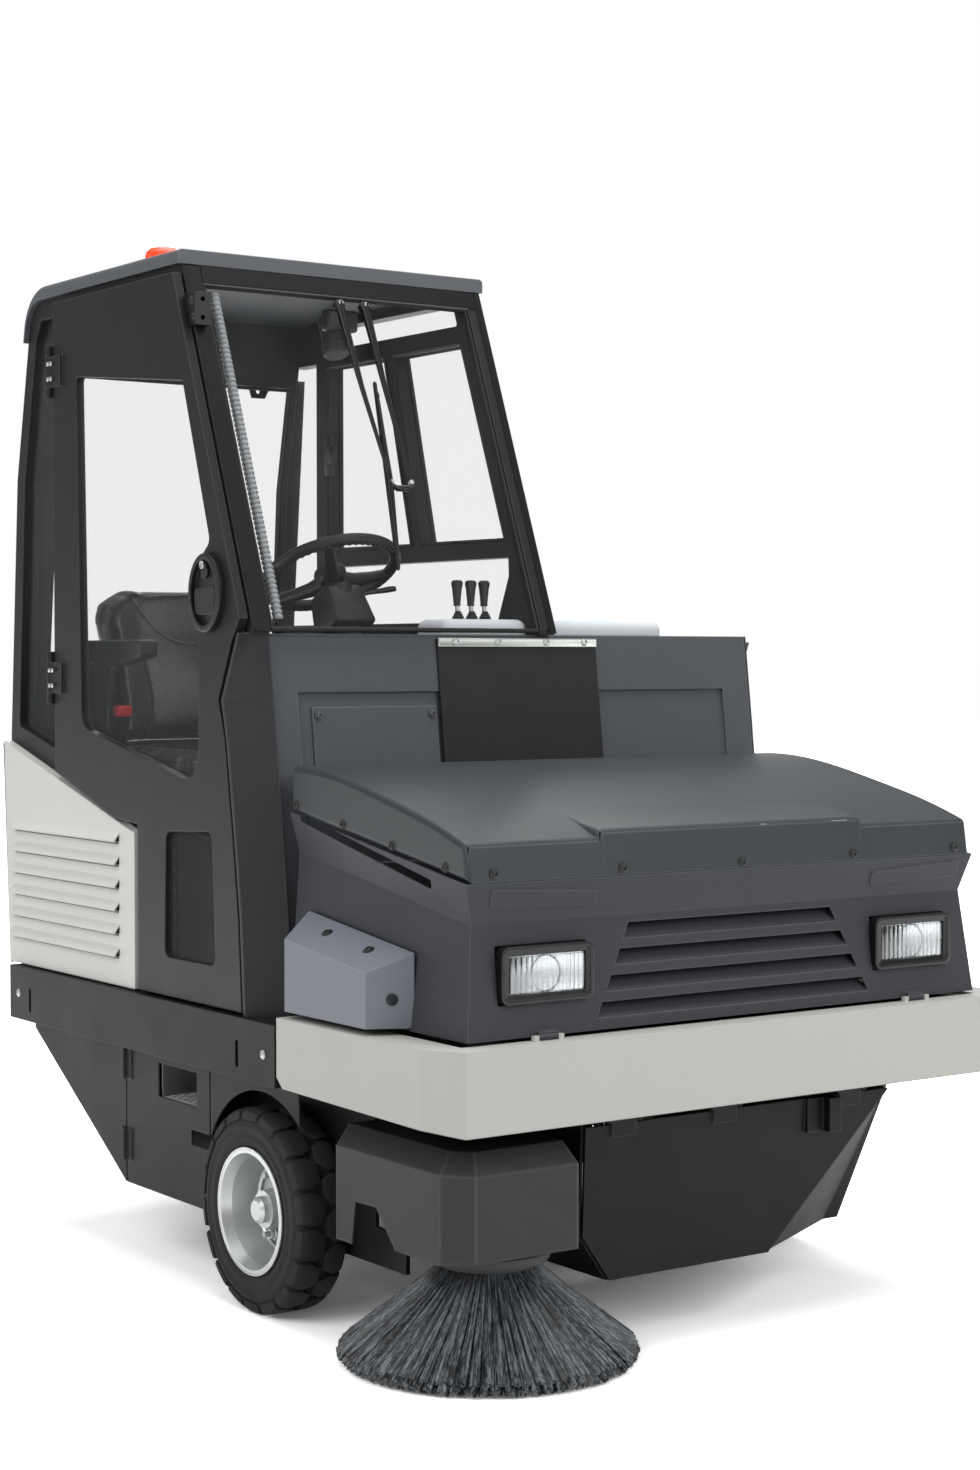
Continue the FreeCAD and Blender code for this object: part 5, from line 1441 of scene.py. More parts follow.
@dataclass
class Headlamp(Part):
    """Rectangular lamp: bezel, ribbed reflector, bulb and fluted lens."""

    middle_y: float = 461.5
    middle_z: float = 744.5
    half_width: float = 105.0
    half_height: float = 53.0
    front: float = 711.5

    def frame_box(self, name: str, side: Side, inset: float, x0: float, x1: float) -> Piece:
        """A box on the lamp's seat, smaller all round by an inset.

        Args:
            name: The piece's name.
            side: Which lamp.
            inset: How much smaller than the seat.
            x0: Its back.
            x1: Its front.

        Returns:
            The piece.
        """
        y = side.value * self.middle_y
        low = self.at(x0, y - self.half_width + inset, self.middle_z - self.half_height + inset)
        high = self.at(x1, y + self.half_width - inset, self.middle_z + self.half_height - inset)
        return self.bench.cube(name, low, high)

    def bezel(self, side: Side) -> Piece:
        """Black frame with a stepped face and rounded corners.

        Args:
            side: Which lamp.

        Returns:
            The bezel.
        """
        piece = self.frame_box(f"bezel_{side.name.lower()}", side, 0.4, 691, self.front)
        self.bench.round_corners(piece, X, 0.016)
        face = self.at(self.front, 0, 0).x
        self.bench.sink(piece, lambda c, n: c.x > face - 0.001 and n.x > 0.9, 0.008, Vector((-0.003, 0, 0)))
        face -= 0.003
        self.bench.sink(
            piece, lambda c, n: abs(c.x - face) < 0.0004 and n.x > 0.9, 0.009, Vector((-0.014, 0, 0)))
        self.bench.bevel(piece, 0.0016, 2)
        return piece

    def reflector(self, side: Side) -> Piece:
        """Parabolic bowl in a rectangular pan, with the bulb at its middle.

        Args:
            side: Which lamp.

        Returns:
            The reflector.
        """
        y = side.value * self.middle_y
        pan = self.frame_box("pan", side, 18, 696, 699)
        spot = self.at(698, y, self.middle_z)
        bowl = self.bench.lathe(
            "bowl", [(33.5, 0.8), (31, -1.2), (25, -4.5), (18, -6.8), (9, -7.8), (0, -8)],
            spot + Vector((0.0018, 0, 0)), X, 48)
        ring = self.bench.lathe(
            "ring", [(33.2, -1), (35, 1.2), (33.2, 1.8), (31.5, 0.4), (33.2, -1)], spot, X, 48)
        steps = []
        corners = ((-4.2, -34), (4.2, -34), (4.2, 34), (-4.2, 34))
        for k in range(5):
            for end in (-1, 1):
                mid = y + end * (42 + 9 * k)
                outline = [self.at(699, mid + a, self.middle_z + b) for a, b in corners]
                steps.append(self.bench.slab("step", outline, Vector((0.0006 + 0.0003 * k, 0, 0))))
        return self.bench.join(f"reflector_{side.name.lower()}", [pan, bowl, ring] + steps)

    def lens(self, side: Side) -> Piece:
        """Crowned lens with upright flutes.

        Args:
            side: Which lamp.

        Returns:
            The lens.
        """
        piece = self.frame_box(f"lens_{side.name.lower()}", side, 17.2, 701.5, 705)
        self.bench.round_corners(piece, X, 0.006)
        face = self.at(705, 0, 0).x
        self.bench.sink(piece, lambda c, n: n.x > 0.9 and c.x > face - 0.0005, 0.003, Vector((0.0022, 0, 0)))
        self.bench.bevel(piece, 0.0012, 2)
        return piece

    def build(self) -> None:
        """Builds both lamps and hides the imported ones."""
        self.keep("headlamp_bezels", [self.bezel(side) for side in Side], "lamp_black", "hood", "headlamps")
        self.keep("headlamp_reflectors", [self.reflector(side) for side in Side], "reflector", "hood")
        bulb = [(0, 0), (6, 0), (6, 4), (4.2, 5.5), (4.2, 8), (0, 9.5)]
        spots = [self.at(690.5, side.value * self.middle_y, self.middle_z) for side in Side]
        bulbs = [self.bench.lathe("bulb", bulb, spot, X, 20) for spot in spots]
        self.keep("headlamp_bulbs", bulbs, "light_plastic", "hood")
        self.keep(
            "headlamp_glasses", [self.lens(side) for side in Side], "lamp_glass", "hood", "headlamp_lenses")


@dataclass
class Wiper(Part):
    """Two tapered arms, link, blade and the motor behind the glass."""

    pivots: tuple[float, float] = (-308.0, -244.0)
    pins: tuple[float, float] = (-272.0, -222.0)
    blade_top: tuple[float, float] = (-252.0, 1915.0)
    blade_foot: tuple[float, float] = (-294.0, 1503.0)
    glass_depth: float = 12.0

    def on_glass(self, y: float, z: float, lift: float) -> Vector:
        """Point over the windscreen's plane."""
        return self.at(screen_x(z) - self.glass_depth + lift, y, z)

    def on_blade(self, share: float, lift: float) -> Vector:
        """Point over the blade, from its top at 0 to its foot at 1."""
        y, z = (top + (foot - top) * share for top, foot in zip(self.blade_top, self.blade_foot))
        return self.on_glass(y, z, lift)

    def build(self) -> None:
        """Builds the wiper and its motor."""
        out = Vector((0.933, 0, 0.359))
        head = [(0, -9), (11, -9), (11, 2), (8, 5), (0, 5)]
        nut = [(0, 3), (6.5, 3), (6.5, 9), (5, 10.5), (0, 10.5)]
        stud = [(0, -4), (5.5, -4), (5.5, 4), (4, 6), (0, 6)]
        parts = []
        nuts = []
        for top, pin in zip(self.pivots, self.pins):
            bends = ((top, 2086, 15), (top + 1, 2040, 16), ((top * 2 + pin) / 3, 1900, 15), (pin, 1695, 13))
            path = [self.on_glass(*bend) for bend in bends]
            pivot = self.on_glass(top, 2082, 14)
            parts.append(self.bench.stalk("arm", path, [0.0105, 0.0095, 0.0058, 0.0036], 8))
            parts.append(self.bench.lathe("head", head, pivot, out, 24))
            nuts.append(self.bench.lathe("nut", nut, pivot, out, 6))
            nuts.append(self.bench.lathe("pin", stud, self.on_glass(pin, 1693, 14), out, 16))
        first, last = self.pins
        ends = ((first - 6, 1692), (first + 10, 1680), (last - 10, 1680), (last + 6, 1694))
        path = [self.on_glass(y, z, 14) for y, z in ends]
        link = self.bench.stalk("link", path, [0.0045, 0.007, 0.007, 0.0045], 8)
        bow = ((0.1, 9), (0.34, 11), (0.54, 13), (0.74, 11), (0.92, 9))
        path = [self.on_blade(share, lift) for share, lift in bow]
        yoke = self.bench.stalk("yoke", path, [0.003, 0.005, 0.0075, 0.005, 0.003], 6)
        claws = []
        for share in (0.08, 0.26, 0.42, 0.64, 0.8, 0.95):
            path = [self.on_blade(share - 0.04, 5), self.on_blade(share, 8), self.on_blade(share + 0.04, 5)]
            claws.append(self.bench.stalk("claw", path, [0.002, 0.0045, 0.002], 6))
        self.keep("wiper_arms", parts + [link, yoke] + claws, "lamp_black", "root", "wiper")
        blade = self.bench.stalk(
            "wiper_blade", [self.on_blade(share, 2.5) for share in (0.0, 0.01, 0.99, 1.0)],
            [0.001, 0.0045, 0.0045, 0.001], 4)
        self.bench.dress(blade, "flap_rubber", "root")
        self.keep("wiper_nuts", nuts, "zinc", "root")
        motor = self.bench.lathe(
            "motor", [(0, -62), (24, -62), (27, -58), (27, 8), (30, 10), (30, 26), (26, 30), (0, 30)],
            self.at(-324, -278, 2008), Vector((0.36, 0, -0.93)), 32)
        gear = self.box("gear", (-330, -312, 2030), (-298, -232, 2078), 0.008, 3)
        self.keep("wiper_motor", [motor, gear], "black_plastic", "root")


@dataclass
class SteeringWheel(Part):
    """Rim with finger rests, three dished spokes and a cap."""

    centre: Place = (-295.0, -310.0, 1505.0)
    reach: float = 147.0
    thickness: float = 12.6

    def build(self) -> None:
        """Builds the wheel."""
        rim = self.bench.lathe("rim", round_section(self.reach, self.thickness, 16), Vector(), Z, 96)
        bump = self.bench.ball("bump", Vector(), 0.0062, 6)
        bumps = self.bench.copies("bumps", bump, around(60, (self.reach - 1) / MM_PER_METRE, -0.0088))
        dish = ((18, -16), (55, -17), (100, -10), (self.reach, 0))
        path = [Vector((out / MM_PER_METRE, 0, up / MM_PER_METRE)) for out, up in dish]
        spokes = []
        for angle in (90, 210, 330):
            spoke = self.bench.stalk("spoke", path, [0.020, 0.0165, 0.0135, 0.012], 12)
            spoke.data.transform(Matrix.Rotation(math.radians(angle), 4, "Z"))
            spokes.append(spoke)
        hub = self.bench.lathe(
            "hub", [(0, -38), (13, -38), (13, -26), (30, -24), (35, -14), (36, 0), (33, 6), (24, 8.5),
            (22, 7.5), (0, 8)], Vector(), Z, 48)
        wheel = self.bench.join("steering_wheel_rim", [rim, bumps, hub] + spokes)
        wheel.data.transform(facing(self.at(*self.centre), COLUMN_AXIS))
        self.bench.dress(wheel, "black_plastic", "steering_wheel", "steering_wheel")
        boot = self.bench.lathe(
            "column_shroud", [(33, -150), (37, -145), (40, -80), (44, -62), (44, -48), (36, -43), (20, -42),
            (16, -42)], self.at(*self.centre), COLUMN_AXIS, 32)
        path = self.line((-272, -285, 1448), (-262, -230, 1462), (-258, -180, 1470), (-257, -165, 1472))
        stalk = self.bench.stalk("switch_stalk", path, [0.005, 0.0045, 0.007, 0.006], 12)
        self.keep("column_shroud", [boot, stalk], "black_plastic", "root")


@dataclass
class Levers(Part):
    """Three levers with flared, ringed grips and rubber boots."""

    places: tuple[float, ...] = (-111.0, -75.0, -40.0)

    def build(self) -> None:
        """Builds stems, grips and boots."""
        grip = [
            (0, 1432), (7, 1432), (8.5, 1434), (7.4, 1437), (8.2, 1444), (9, 1446), (8.4, 1449),
            (9.6, 1458), (10.4, 1460), (9.8, 1463), (11.6, 1474), (12.8, 1479), (12.8, 1482), (10, 1486.5),
            (5, 1488), (0, 1488)]
        boot = [
            (0, 1400), (14.5, 1400), (15, 1404), (12, 1406), (13, 1409), (9.5, 1411), (10.5, 1414),
            (7, 1416), (7.5, 1419), (5, 1421), (0, 1421)]
        grips = []
        stems = []
        boots = []
        for y in self.places:
            path = self.line((-90, y, 1376), (-93, y, 1405), (-96, y, 1442))
            stems.append(self.bench.stalk("stem", path, [0.0052, 0.0048, 0.0048], 16))
            grips.append(self.bench.lathe("grip", grip, self.at(-96, y, 0), Z, 28))
            boots.append(self.bench.lathe("boot", boot, self.at(-91.5, y, 0), Z, 24))
        self.keep("lever_grips", grips, "black_plastic", "root", "levers")
        self.keep("lever_stems", stems, "zinc", "root")
        self.keep("lever_boots", boots, "flap_rubber", "root")


@dataclass
class Beacon(Part):
    """Warning lamp: black foot, ribbed lens."""

    x: float = -600.0
    y: float = -550.0
    base: float = 2173.0
    rib: float = 3.75

    def build(self) -> None:
        """Builds the lamp."""
        spot = self.at(self.x, self.y, self.base)
        foot = self.bench.lathe(
            "beacon_foot", [(0, 0.2), (47.6, 0.2), (48, 2), (47, 9), (44, 12.5), (0, 12.5)], spot, Z, 48)
        self.bench.dress(foot, "black_plastic", "root", "beacon")
        lens = self.bench.lathe(
            "beacon_lens", [(0, 12.6), (42, 12.6), (42.3, 15), (41, 16.5), (40.2, 34), (38, 42), (32, 48.5),
            (22, 51.8), (0, 52.9)], spot, Z, 96)

        def on_rib(centre: Vector, normal: Vector) -> bool:
            """Whether a face of the wall is on every second rib."""
            angle = math.degrees(math.atan2(centre.y - spot.y, centre.x - spot.x))
            return abs(normal.z) < 0.45 and int(angle // self.rib) % 2 == 0

        self.bench.pick_faces(lens, on_rib)
        bpy.ops.mesh.inset(thickness=0.0003, depth=0.0009, use_individual=False)
        bpy.ops.object.mode_set(mode="OBJECT")
        self.bench.dress(lens, "amber_lens", "root")


@dataclass
class Conduit(Part):
    """Corrugated conduit down the inside of the right front pillar."""

    top: Place = (-283.0, -602.0, 2085.0)
    foot: Place = (-18.0, -602.0, 1396.0)
    radius: float = 11.0
    pitch: float = 11.0

    def build(self) -> None:
        """Spins the corrugated tube."""
        start = self.at(*self.foot)
        span = self.at(*self.top) - start
        length = span.length * MM_PER_METRE
        count = int(length / self.pitch)
        profile = [(self.radius * 0.7, 0.0)]
        valley = self.radius * 0.74
        for k in range(count):
            z = k * self.pitch
            profile += [(valley, z + 1.2), (self.radius, z + 3), (self.radius, z + 8), (valley, z + 9.8)]
        tube = self.bench.lathe("conduit", profile, start, span, 14)
        self.bench.dress(tube, "conduit_grey", "root")


@dataclass
class LouvreShade(Part):
    """Painted shade in the pressed louvres on both side panels: thin black strips where their ends and lips
    lie in shadow.
    """

    rows: int = 6
    pitch: float = 50.0
    first: float = 925.0
    face: float = 698.0
    front: float = -537.8
    rear: float = -1075.0
    swell: float = 9.5
    film: float = 0.0006

    def build(self) -> None:
        """Lays painted shade: a black strip filling the end of every louvre and one under its lip."""
        shade_strips = []
        for side in Side:
            y = side.value * self.face
            crest = y + side.value * self.swell
            for i in range(self.rows):
                z = self.first - i * self.pitch
                # Painted shade: a black film across the louvre's open end.
                end = [(y, z + 12), (crest, z - 2), (crest, z - 4), (y, z - 4)]
                outline = [self.at(self.front, a, b) for a, b in end]
                shade_strips.append(self.bench.slab("mouth", outline, X * self.film))
                # Painted shade: a black film under the louvre's lip.
                rear = self.rear + (self.rows - 1 - i) * 2
                lip = [(rear, z - 5.4), (self.front - 3, z - 5.4), (self.front - 3, z - 9.4), (rear, z - 9.4)]
                outline = [self.at(a, y, b) for a, b in lip]
                shade_strips.append(self.bench.slab("lip", outline, Y * side.value * self.film))
        self.keep("louvre_mouths", shade_strips, "lamp_black", "root")


@dataclass
class StepTread(Part):
    """Checker plate on the steps."""

    x0: float = -441.0
    x1: float = -270.0
    y0: float = 564.0
    y1: float = 643.0
    z: float = 372.2
    columns: int = 14
    rows: int = 6
    margin: float = 8.0

    def build(self) -> None:
        """Lays a plate of raised lozenges on each step."""
        for side in Side:
            name = f"step_tread_{side.name.lower()}"
            ends = sorted((side.value * self.y0, side.value * self.y1))
            plate = self.box(name, (self.x0, ends[0], self.z), (self.x1, ends[1], self.z + 2))
            lozenge = self.bench.slab(
                "lozenge", [X * -0.0085, Y * -0.0026, X * 0.0085, Y * 0.0026], Z * 0.0014)
            self.bench.bevel(lozenge, 0.0005, 1)
            spots = []
            for i in range(self.columns):
                for j in range(self.rows):
                    turn = Matrix.Rotation(math.radians(45 if (i + j) % 2 else -45), 4, "Z")
                    x = self.x0 + self.margin + i * 11.9
                    y = ends[0] + self.margin + j * 12.6
                    spots.append(Matrix.Translation(self.at(x, y, self.z + 1.9)) @ turn)
            plate = self.bench.join(name, [plate, self.bench.copies("lozenges", lozenge, spots)])
            self.bench.dress(plate, "tread_steel", "root")


@dataclass
class Chain(Part):
    """Short chain over the side brush's cover."""

    start: Place = (470.0, -520.0, 432.0)
    end: Place = (520.0, -420.0, 436.0)
    links: int = 12

    def build(self) -> None:
        """Lays oval links in a sagging line."""
        first = self.at(*self.start)
        last = self.at(*self.end)
        run = (last - first).normalized()
        ring = self.bench.lathe("link", round_section(7, 2, 8), Vector(), Z, 16)
        ring.data.transform(Matrix.Diagonal((1.35, 0.9, 1.0, 1.0)))
        spots = []
        for k in range(self.links):
            share = (k + 0.5) / self.links
            place = first.lerp(last, share) - Vector((0, 0, 0.012 * math.sin(math.pi * share)))
            along = X.rotation_difference(run).to_matrix().to_4x4()
            roll = Matrix.Rotation(math.pi / 2 * (k % 2) + 0.4, 4, "X")
            spots.append(Matrix.Translation(place) @ along @ roll)
        self.bench.dress(self.bench.copies("brush_chain", ring, spots), "black_plastic", "brush_arm")


@dataclass
class Seat(Part):
    """Driver's seat: cushion and back of vinyl over foam, pan, bellows, armrest and belt."""

    y: float = -325.0
    voxel: float = 0.0085
    pressure: float = 4.0
    frames: int = 14
    cap: float = 0.012
    piping: float = 0.0042

    def pad(self, name: str, low: Place, high: Place, shape: Callable[[Vector], Vector]) -> Piece:
        """Swells a shaped block by a cloth simulation.

        Args:
            name: The piece's name.
            low: Lower corner of the block.
            high: Upper corner of the block.
            shape: Moves a point of the block given from 0 to 1 each way, in metres.

        Returns:
            The pad.
        """
        piece = self.bench.cube(name, self.at(*low), self.at(*high))
        self.bench.divide(9)
        base = self.at(*low)
        size = self.at(*high) - base
        for vertex in piece.data.vertices:
            place = vertex.co - base
            vertex.co += shape(Vector((place.x / size.x, place.y / size.y, place.z / size.z)))
        self.bench.bevel(piece, 0.012, 3, 50)
        self.bench.change(piece, "REMESH", mode="VOXEL", voxel_size=self.voxel)
        start = [vertex.co.copy() for vertex in piece.data.vertices]
        cloth = piece.modifiers.new("swell", "CLOTH")
        cloth.settings.use_pressure = True
        cloth.settings.uniform_pressure_force = self.pressure
        cloth.settings.effector_weights.gravity = 0.0
        for frame in range(1, self.frames + 1):
            bpy.context.scene.frame_set(frame)
        bpy.ops.object.modifier_apply(modifier=cloth.name)
        for vertex, before in zip(piece.data.vertices, start):
            move = vertex.co - before
            if move.length > self.cap:
                vertex.co = before + move.normalized() * self.cap
        bpy.context.scene.frame_set(1)
        self.bench.change(piece, "SMOOTH", iterations=3)
        return self.bench.subdivide(piece, 1)

    def seam(self, name: str, piece: Piece, path: Sequence[Vector], ray: Vector) -> Piece:
        """Lays a piped seam on a pad where rays meet its skin.

        Args:
            name: The piece's name.
            piece: The pad.
            path: Points over the pad.
            ray: The way from them to its skin.

        Returns:
            The seam.
        """
        points = []
        for spot in path:
            hit, place, _, _ = piece.ray_cast(spot - ray, ray.normalized())
            if hit:
                points.append(place)
        return self.bench.hose(name, points, self.piping, 2)

    def cushion(self) -> None:
        """Cushion with raised bolsters at its sides and front."""

        def shape(p: Vector) -> Vector:
            """Moves a point of the block, given from 0 to 1 each way.

            Args:
                p: The point.

            Returns:
                Its move in metres.
            """
            side = abs(p.y - 0.5) * 2
            rise = (0.030 * max(0.0, side - 0.6) / 0.4 - 0.012 * (1 - side)) * p.z
            front = -0.022 * max(0.0, p.x - 0.78) / 0.22 * p.z
            narrow = -0.016 * (p.y - 0.5) * 2 * max(0.0, p.x - 0.7) / 0.3
            return Vector((0, narrow, rise + front))

        piece = self.pad("seat_cushion_pad", (-888, self.y - 224, 1006), (-432, self.y + 224, 1088), shape)
        paths = []
        for end in (-1, 1):
            paths.append([self.at(x, self.y + end * 138, 1090) for x in range(-850, -440, 20)])
        paths.append([self.at(-520, self.y + y, 1090) for y in range(-136, 137, 17)])
        seams = [self.seam("seam", piece, path, Vector((0, 0, -0.2))) for path in paths]
        self.bench.dress(piece, "seat_vinyl", "root", "seat_cushion")
        self.keep("cushion_seams", seams, "seat_vinyl", "root")

    def back(self) -> None:
        """Back rest with a wide upper part, bolsters and a curved seam."""

        def shape(p: Vector) -> Vector:
            """Moves a point of the block, given from 0 to 1 each way.

            Args:
                p: The point.

            Returns:
                Its move in metres.
            """
            side = abs(p.y - 0.5) * 2
            lean = -0.098 * p.z
            shoulder = 1 - math.sqrt(1 - min(1.0, max(0.0, p.z - 0.76) / 0.24) ** 2)
            bolster = 0.026 * max(0.0, side - 0.62) / 0.38 * p.x * (1 - 0.5 * p.z)
            waist = -(0.012 * (1 - abs(p.z - 0.5) * 2) + 0.085 * shoulder) * (p.y - 0.5) * 2
            lumbar = 0.014 * math.sin(math.pi * min(1.0, p.z * 1.4)) * p.x * (1 - side)
            thin = 0.012 * (1 - p.x) * p.z
            return Vector((lean + bolster + lumbar + thin, waist, 0.0))

        piece = self.pad("seat_back_pad", (-902, self.y - 234, 1118), (-832, self.y + 234, 1488), shape)
        ray = Vector((-0.3, 0, 0))
        curve = []
        for k in range(29):
            share = k / 14 - 1
            curve.append(self.at(-860, self.y + share * 160, 1352 + 128 * abs(share) ** 2.6))
        paths = [curve]
        for end in (-1, 1):
            waist = [(z, 150 - 18 * math.sin((z - 1130) / 220 * math.pi)) for z in range(1135, 1370, 14)]
            paths.append([self.at(-860, self.y + end * y, z) for z, y in waist])
        seams = [self.seam("seam", piece, path, ray) for path in paths]
        self.bench.dress(piece, "seat_vinyl", "root", "seat_back")
        self.keep("back_seams", seams, "seat_vinyl", "root")

    def underframe(self) -> None:
        """Pan, bellows and slide rails on the floor."""
        pan = self.box("pan", (-896, self.y - 232, 978), (-470, self.y + 232, 1003), 0.01, 3)
        folds = []
        for k in range(5):
            fold = self.box(
                "fold", (-880, self.y - 210, 760 + 43 * k), (-500, self.y + 210, 800 + 43 * k), 0.018)
            folds.append(fold)
        base = self.box("base", (-899, self.y - 245, 600), (-482, self.y + 245, 752), 0.012)
        rails = []
        for y in (self.y - 200, self.y + 200):
            rails.append(self.box("rail", (-895, y - 14, 750), (-490, y + 14, 768), 0.003, 1))
        self.keep("seat_underframe", [pan, base] + folds + rails, "black_plastic", "root", "seat_base")

    def arm(self) -> None:
        """Moulded armrest on its post."""
        rest = self.box("armrest_pad", (-934, self.y - 299, 1327), (-581, self.y - 252, 1360))
        self.bench.divide(3)
        low = self.at(-934, 0, 1327)
        for vertex in rest.data.vertices:
            along = (vertex.co.x - low.x) / 0.353
            if vertex.co.z < low.z + 0.005:
                vertex.co.z += -0.030 * math.sin(math.pi * min(1.0, along * 0.85)) + 0.008 * along
        self.bench.bevel(rest, 0.007, 3, 50)
        self.bench.subdivide(rest, 1)
        bends = ((-876, 262, 905), (-884, 272, 1000), (-896, 276, 1200), (-905, 276, 1335))
        path = [self.at(x, self.y - out, z) for x, out, z in bends]
        post = self.bench.stalk("armrest_post", path, [0.022, 0.017, 0.015, 0.018], 16)
        foot = self.bench.drum(
            "armrest_foot", self.at(-876, self.y - 270, 930), self.at(-876, self.y - 245, 930), 0.03, 32)
        self.bench.bevel(foot, 0.004, 2)
        self.keep("armrest_right", [rest, post, foot], "black_plastic", "root", "armrest")

    def belt(self) -> None:
        """Belt buckle with its red button on a sleeve."""
        bends = ((-800, 242, 1010), (-780, 248, 1080), (-764, 252, 1150), (-756, 254, 1188))
        path = [self.at(x, self.y - out, z) for x, out, z in bends]
        sleeve = self.bench.stalk("belt_sleeve", path, [0.014, 0.013, 0.017, 0.020], 8)
        self.bench.dress(sleeve, "black_plastic", "root")
        button = self.box("belt_button", (-768, self.y - 272, 1186), (-738, self.y - 236, 1212), 0.004)
        self.bench.dress(button, "belt_red", "root")

    def build(self) -> None:
        """Builds the whole seat."""
        self.cushion()
        self.back()
        self.underframe()
        self.arm()
        self.belt()


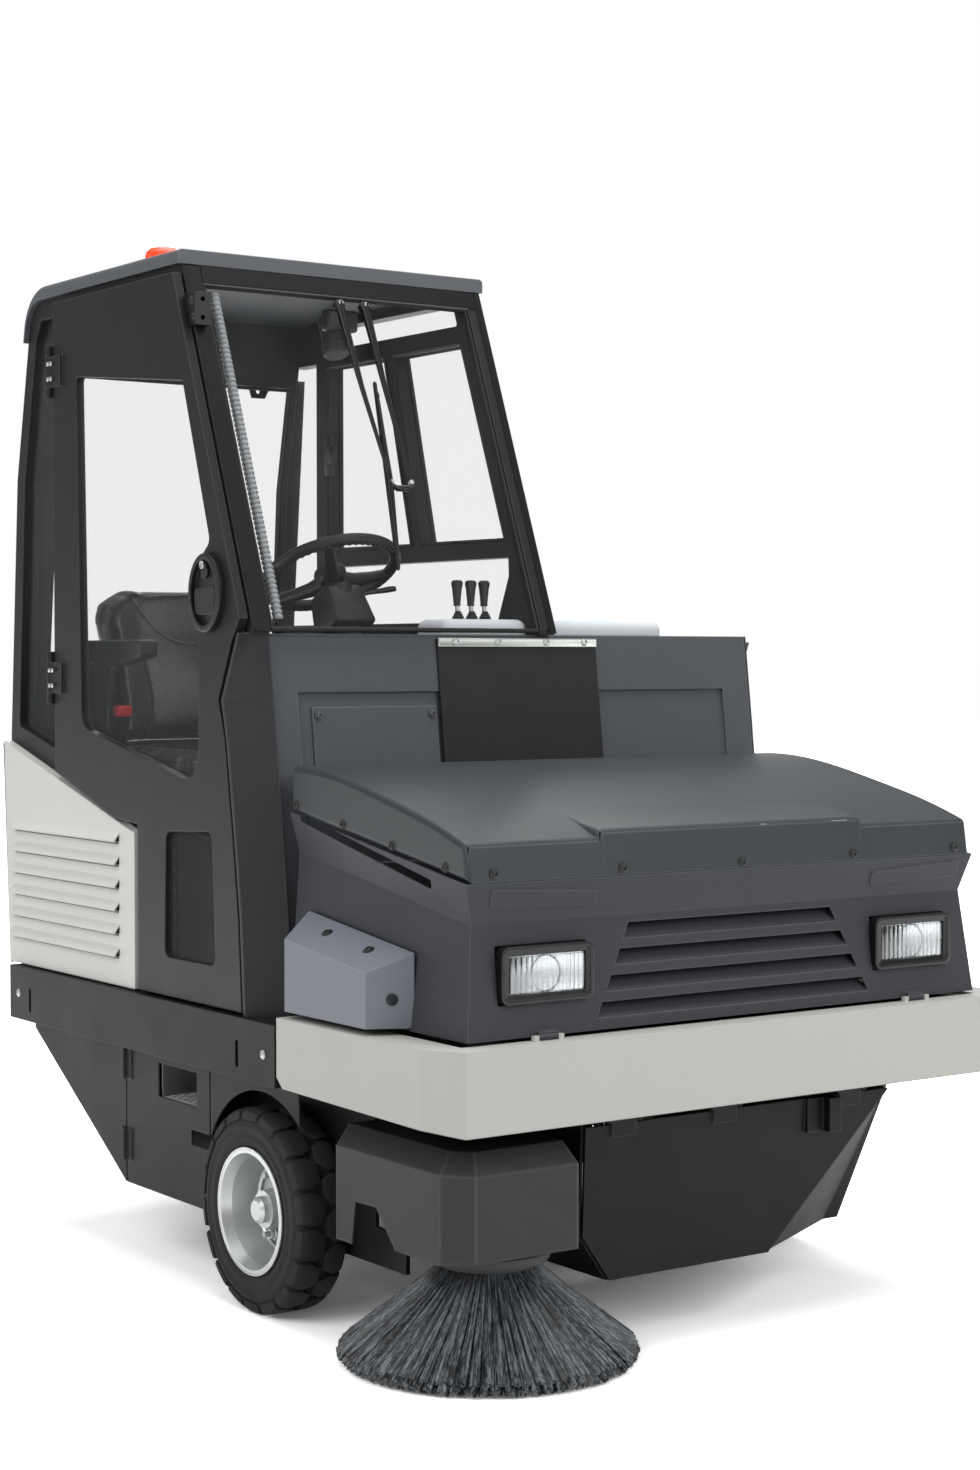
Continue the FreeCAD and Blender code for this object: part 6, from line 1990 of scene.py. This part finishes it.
@dataclass
class CabTrim(Part):
    """Rubber seals, latch, pedals, floor mat and the inner kick panel."""

    def seals(self) -> None:
        """Runs rubber round the windscreen, rear window and sliding windows."""
        runs = []
        top = 2096.0
        foot = 1378.0
        right, left = -632.0, 31.0
        corners = ((right, foot), (right, top), (left, top), (left, foot), (right, foot))
        screen = [self.at(screen_x(z) - 9, y, z) for y, z in corners]
        runs.append(self.bench.hose("screen_seal", screen, 0.0065, 2, False))
        post = ((-1108, 1304), (-1062, 1730), (-1012, 1980))
        rear = [self.at(x, -595, z) for x, z in post] + [self.at(x, 20, z) for x, z in post[::-1]]
        runs.append(self.bench.hose("rear_seal", rear + rear[:1], 0.006, 2, False))
        for outline in (
                ((-866, 1580), (-866, 2026), (-607, 2026), (-493, 1580)),
                ((-572, 2026), (screen_x(2026) - 55, 2026), (screen_x(1580) - 55, 1580), (-455, 1580))):
            for y in (37.0, 73.0):
                loop = [self.at(x, y, z) for x, z in outline + outline[:1]]
                runs.append(self.bench.hose("slide_seal", loop, 0.007, 1, False))
        self.keep("window_seals", runs, "flap_rubber", "root")

    def latch(self) -> None:
        """Latch of the sliding window."""
        body = self.box("slide_latch", (-862, 22, 1762), (-836, 36, 1858), 0.003)
        pull = self.box("pull", (-836, 14, 1790), (-812, 30, 1830), 0.004)
        self.keep("slide_latch", [body, pull], "black_plastic", "root")

    def lock(self) -> None:
        """Key lock at the top of the door handle."""
        low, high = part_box("door_handle")
        spot = Vector(((low.x + high.x) / 2 - 0.004, low.y - 0.0002, high.z - 0.024))
        barrel = self.bench.lathe(
            "door_lock", [(0, -8), (8.5, -8), (8.5, 0.8), (7.5, 1.6), (6, 1.2), (0, 1.2)], spot,
            Vector((0, -1, 0)), 28)
        self.bench.dress(barrel, "zinc", "cab_door")

    def floor(self) -> None:
        """Ribbed mat and two pedals."""
        mat = self.box("floor_mat", (-440, -600, 599.5), (-30, 20, 603))
        rib = self.bench.cube("rib", Vector((-0.2, -0.003, 0)), Vector((0.2, 0.003, 0.002)))
        ribs = self.bench.copies(
            "ribs", rib, [Matrix.Translation(self.at(-236, -590 + 20 * k, 602.8)) for k in range(30)])
        self.keep("floor_mat", [mat, ribs], "flap_rubber", "root")
        pedals = []
        for y in (-470, -180):
            path = self.line((-60, y, 604), (-95, y, 660), (-120, y, 700))
            stem = self.bench.stalk("stem", path, [0.008, 0.007, 0.009], 10)
            pad = self.bench.cube("pad", Vector((-0.006, -0.034, -0.05)), Vector((0.006, 0.034, 0.05)))
            self.bench.bevel(pad, 0.004, 2)
            pad.data.transform(facing(self.at(-124, y, 706), Vector((0.35, 0, 1))))
            pedals += [stem, pad]
        self.keep("pedals", pedals, "black_plastic", "root")

    def pillars(self) -> None:
        """Black trim on both front pillars, and the dark kick panel behind the door's low window."""
        thick = Vector((0.0022, 0, 0.0008))
        trims = []
        for y0, y1, z0, z1 in ((-675, -637, 1372, 2136), (57, 74, 1372, 2136), (-636, 56, 2101, 2138)):
            corners = ((y0, z0), (y1, z0), (y1, z1), (y0, z1))
            outline = [self.at(screen_x(z) + 0.2, y, z) for y, z in corners]
            trims.append(self.bench.slab("trim", outline, thick))
        for trim in trims[:2]:
            self.bench.bevel(trim, 0.0008, 1)
        self.keep("pillar_trims", trims, "pillar_black", "root")
        kick = self.box("kick_panel", (-428, -622, 612), (-40, -608, 975), 0.004)
        self.bench.sink(kick, lambda c, n: n.y < -0.9, 0.03, Vector((0, 0.006, 0)))
        self.bench.dress(kick, "pillar_black", "root")

    def strip(self) -> None:
        """Thin clamp strip with turned edges over the flap."""
        strip = self.box("clamp_strip", (-7.5, -222.5, 1344), (-1, 195.5, 1362))
        self.bench.sink(strip, lambda c, n: n.x > 0.9, 0.0022, Vector((-0.0008, 0, 0)))
        self.bench.bevel(strip, 0.0006, 2)
        self.bench.dress(strip, "zinc", "root", "flap_strip")

    def housing(self) -> None:
        """Switch housing on the steering column."""
        box = self.bench.cube("column_housing", Vector((-0.05, -0.055, -0.055)), Vector((0.05, 0.055, 0.045)))
        self.bench.pick_faces(box, lambda c, n: n.z > 0.9)
        bpy.ops.transform.resize(value=(0.78, 0.85, 1.0), center_override=(0, 0, 0.045))
        bpy.ops.object.mode_set(mode="OBJECT")
        self.bench.bevel(box, 0.012, 3)
        box.data.transform(facing(self.at(-252, -310, 1424), COLUMN_AXIS))
        self.bench.dress(box, "black_plastic", "root")

    def build(self) -> None:
        """Builds all the cab's small pieces."""
        self.pillars()
        self.strip()
        self.housing()
        self.seals()
        self.latch()
        self.lock()
        self.floor()


def dress_nodes(frame: dict[str, Any], shelf: FinishShelf) -> None:
    """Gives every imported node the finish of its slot.

    Args:
        shelf: The finishes.
    """
    slots = {part["node"]: part["material_slot"] for part in frame["record"]["subparts"]}
    # The dash domes' pale finish carries a painted reflection.
    slots.update(
        cab_side_right="cab_dark", cab_side_left="cab_dark", cab_rear_wall="cab_dark",
        door_panel="cab_dark", dash_cheeks="cheek_grey", hood_shell="shell_grey", dash_covers="dome_pale",
        sill_beams="chassis_paint", cab_roof="roof_grey")
    for name, node in frame["nodes"].items():
        node.data.materials.clear()
        node.data.materials.append(shelf.get(slots[name]))


def main() -> None:
    """Builds the looks in order."""
    logging.basicConfig(level=logging.INFO, format="%(message)s", stream=sys.stdout)
    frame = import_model()
    datum = Datum()
    shelf = FinishShelf()
    bench = Bench(shelf)
    Studio(datum).build()
    dress_nodes(frame, shelf)
    Fasteners(bench, datum).build()
    tyre = SolidTyre(bench, datum)
    for side in Side:
        hand = side.name.lower()
        tyre.build(
            f"tyre_tread_{hand}", f"tyre_{hand}", f"wheel_{hand}",
            (0, side.value * HALF_TRACK, AXLE_HEIGHT))
    tyre.build("tyre_tread_rear", "tyre_rear", "rear_wheel", (REAR_AXLE, 0, AXLE_HEIGHT))
    for side in Side:
        hand = side.name.lower()
        tyre.rim_trim(f"rim_trim_{hand}", f"wheel_{hand}", (0, side.value * HALF_TRACK, AXLE_HEIGHT), side)
    for assembly in (
            SideBrush, MainBrush, Headlamp, Wiper, SteeringWheel, Levers, Beacon, Conduit, LouvreShade,
            StepTread, Chain, Seat, CabTrim):
        assembly(bench, datum).build()


if __name__ == "__main__":
    main()
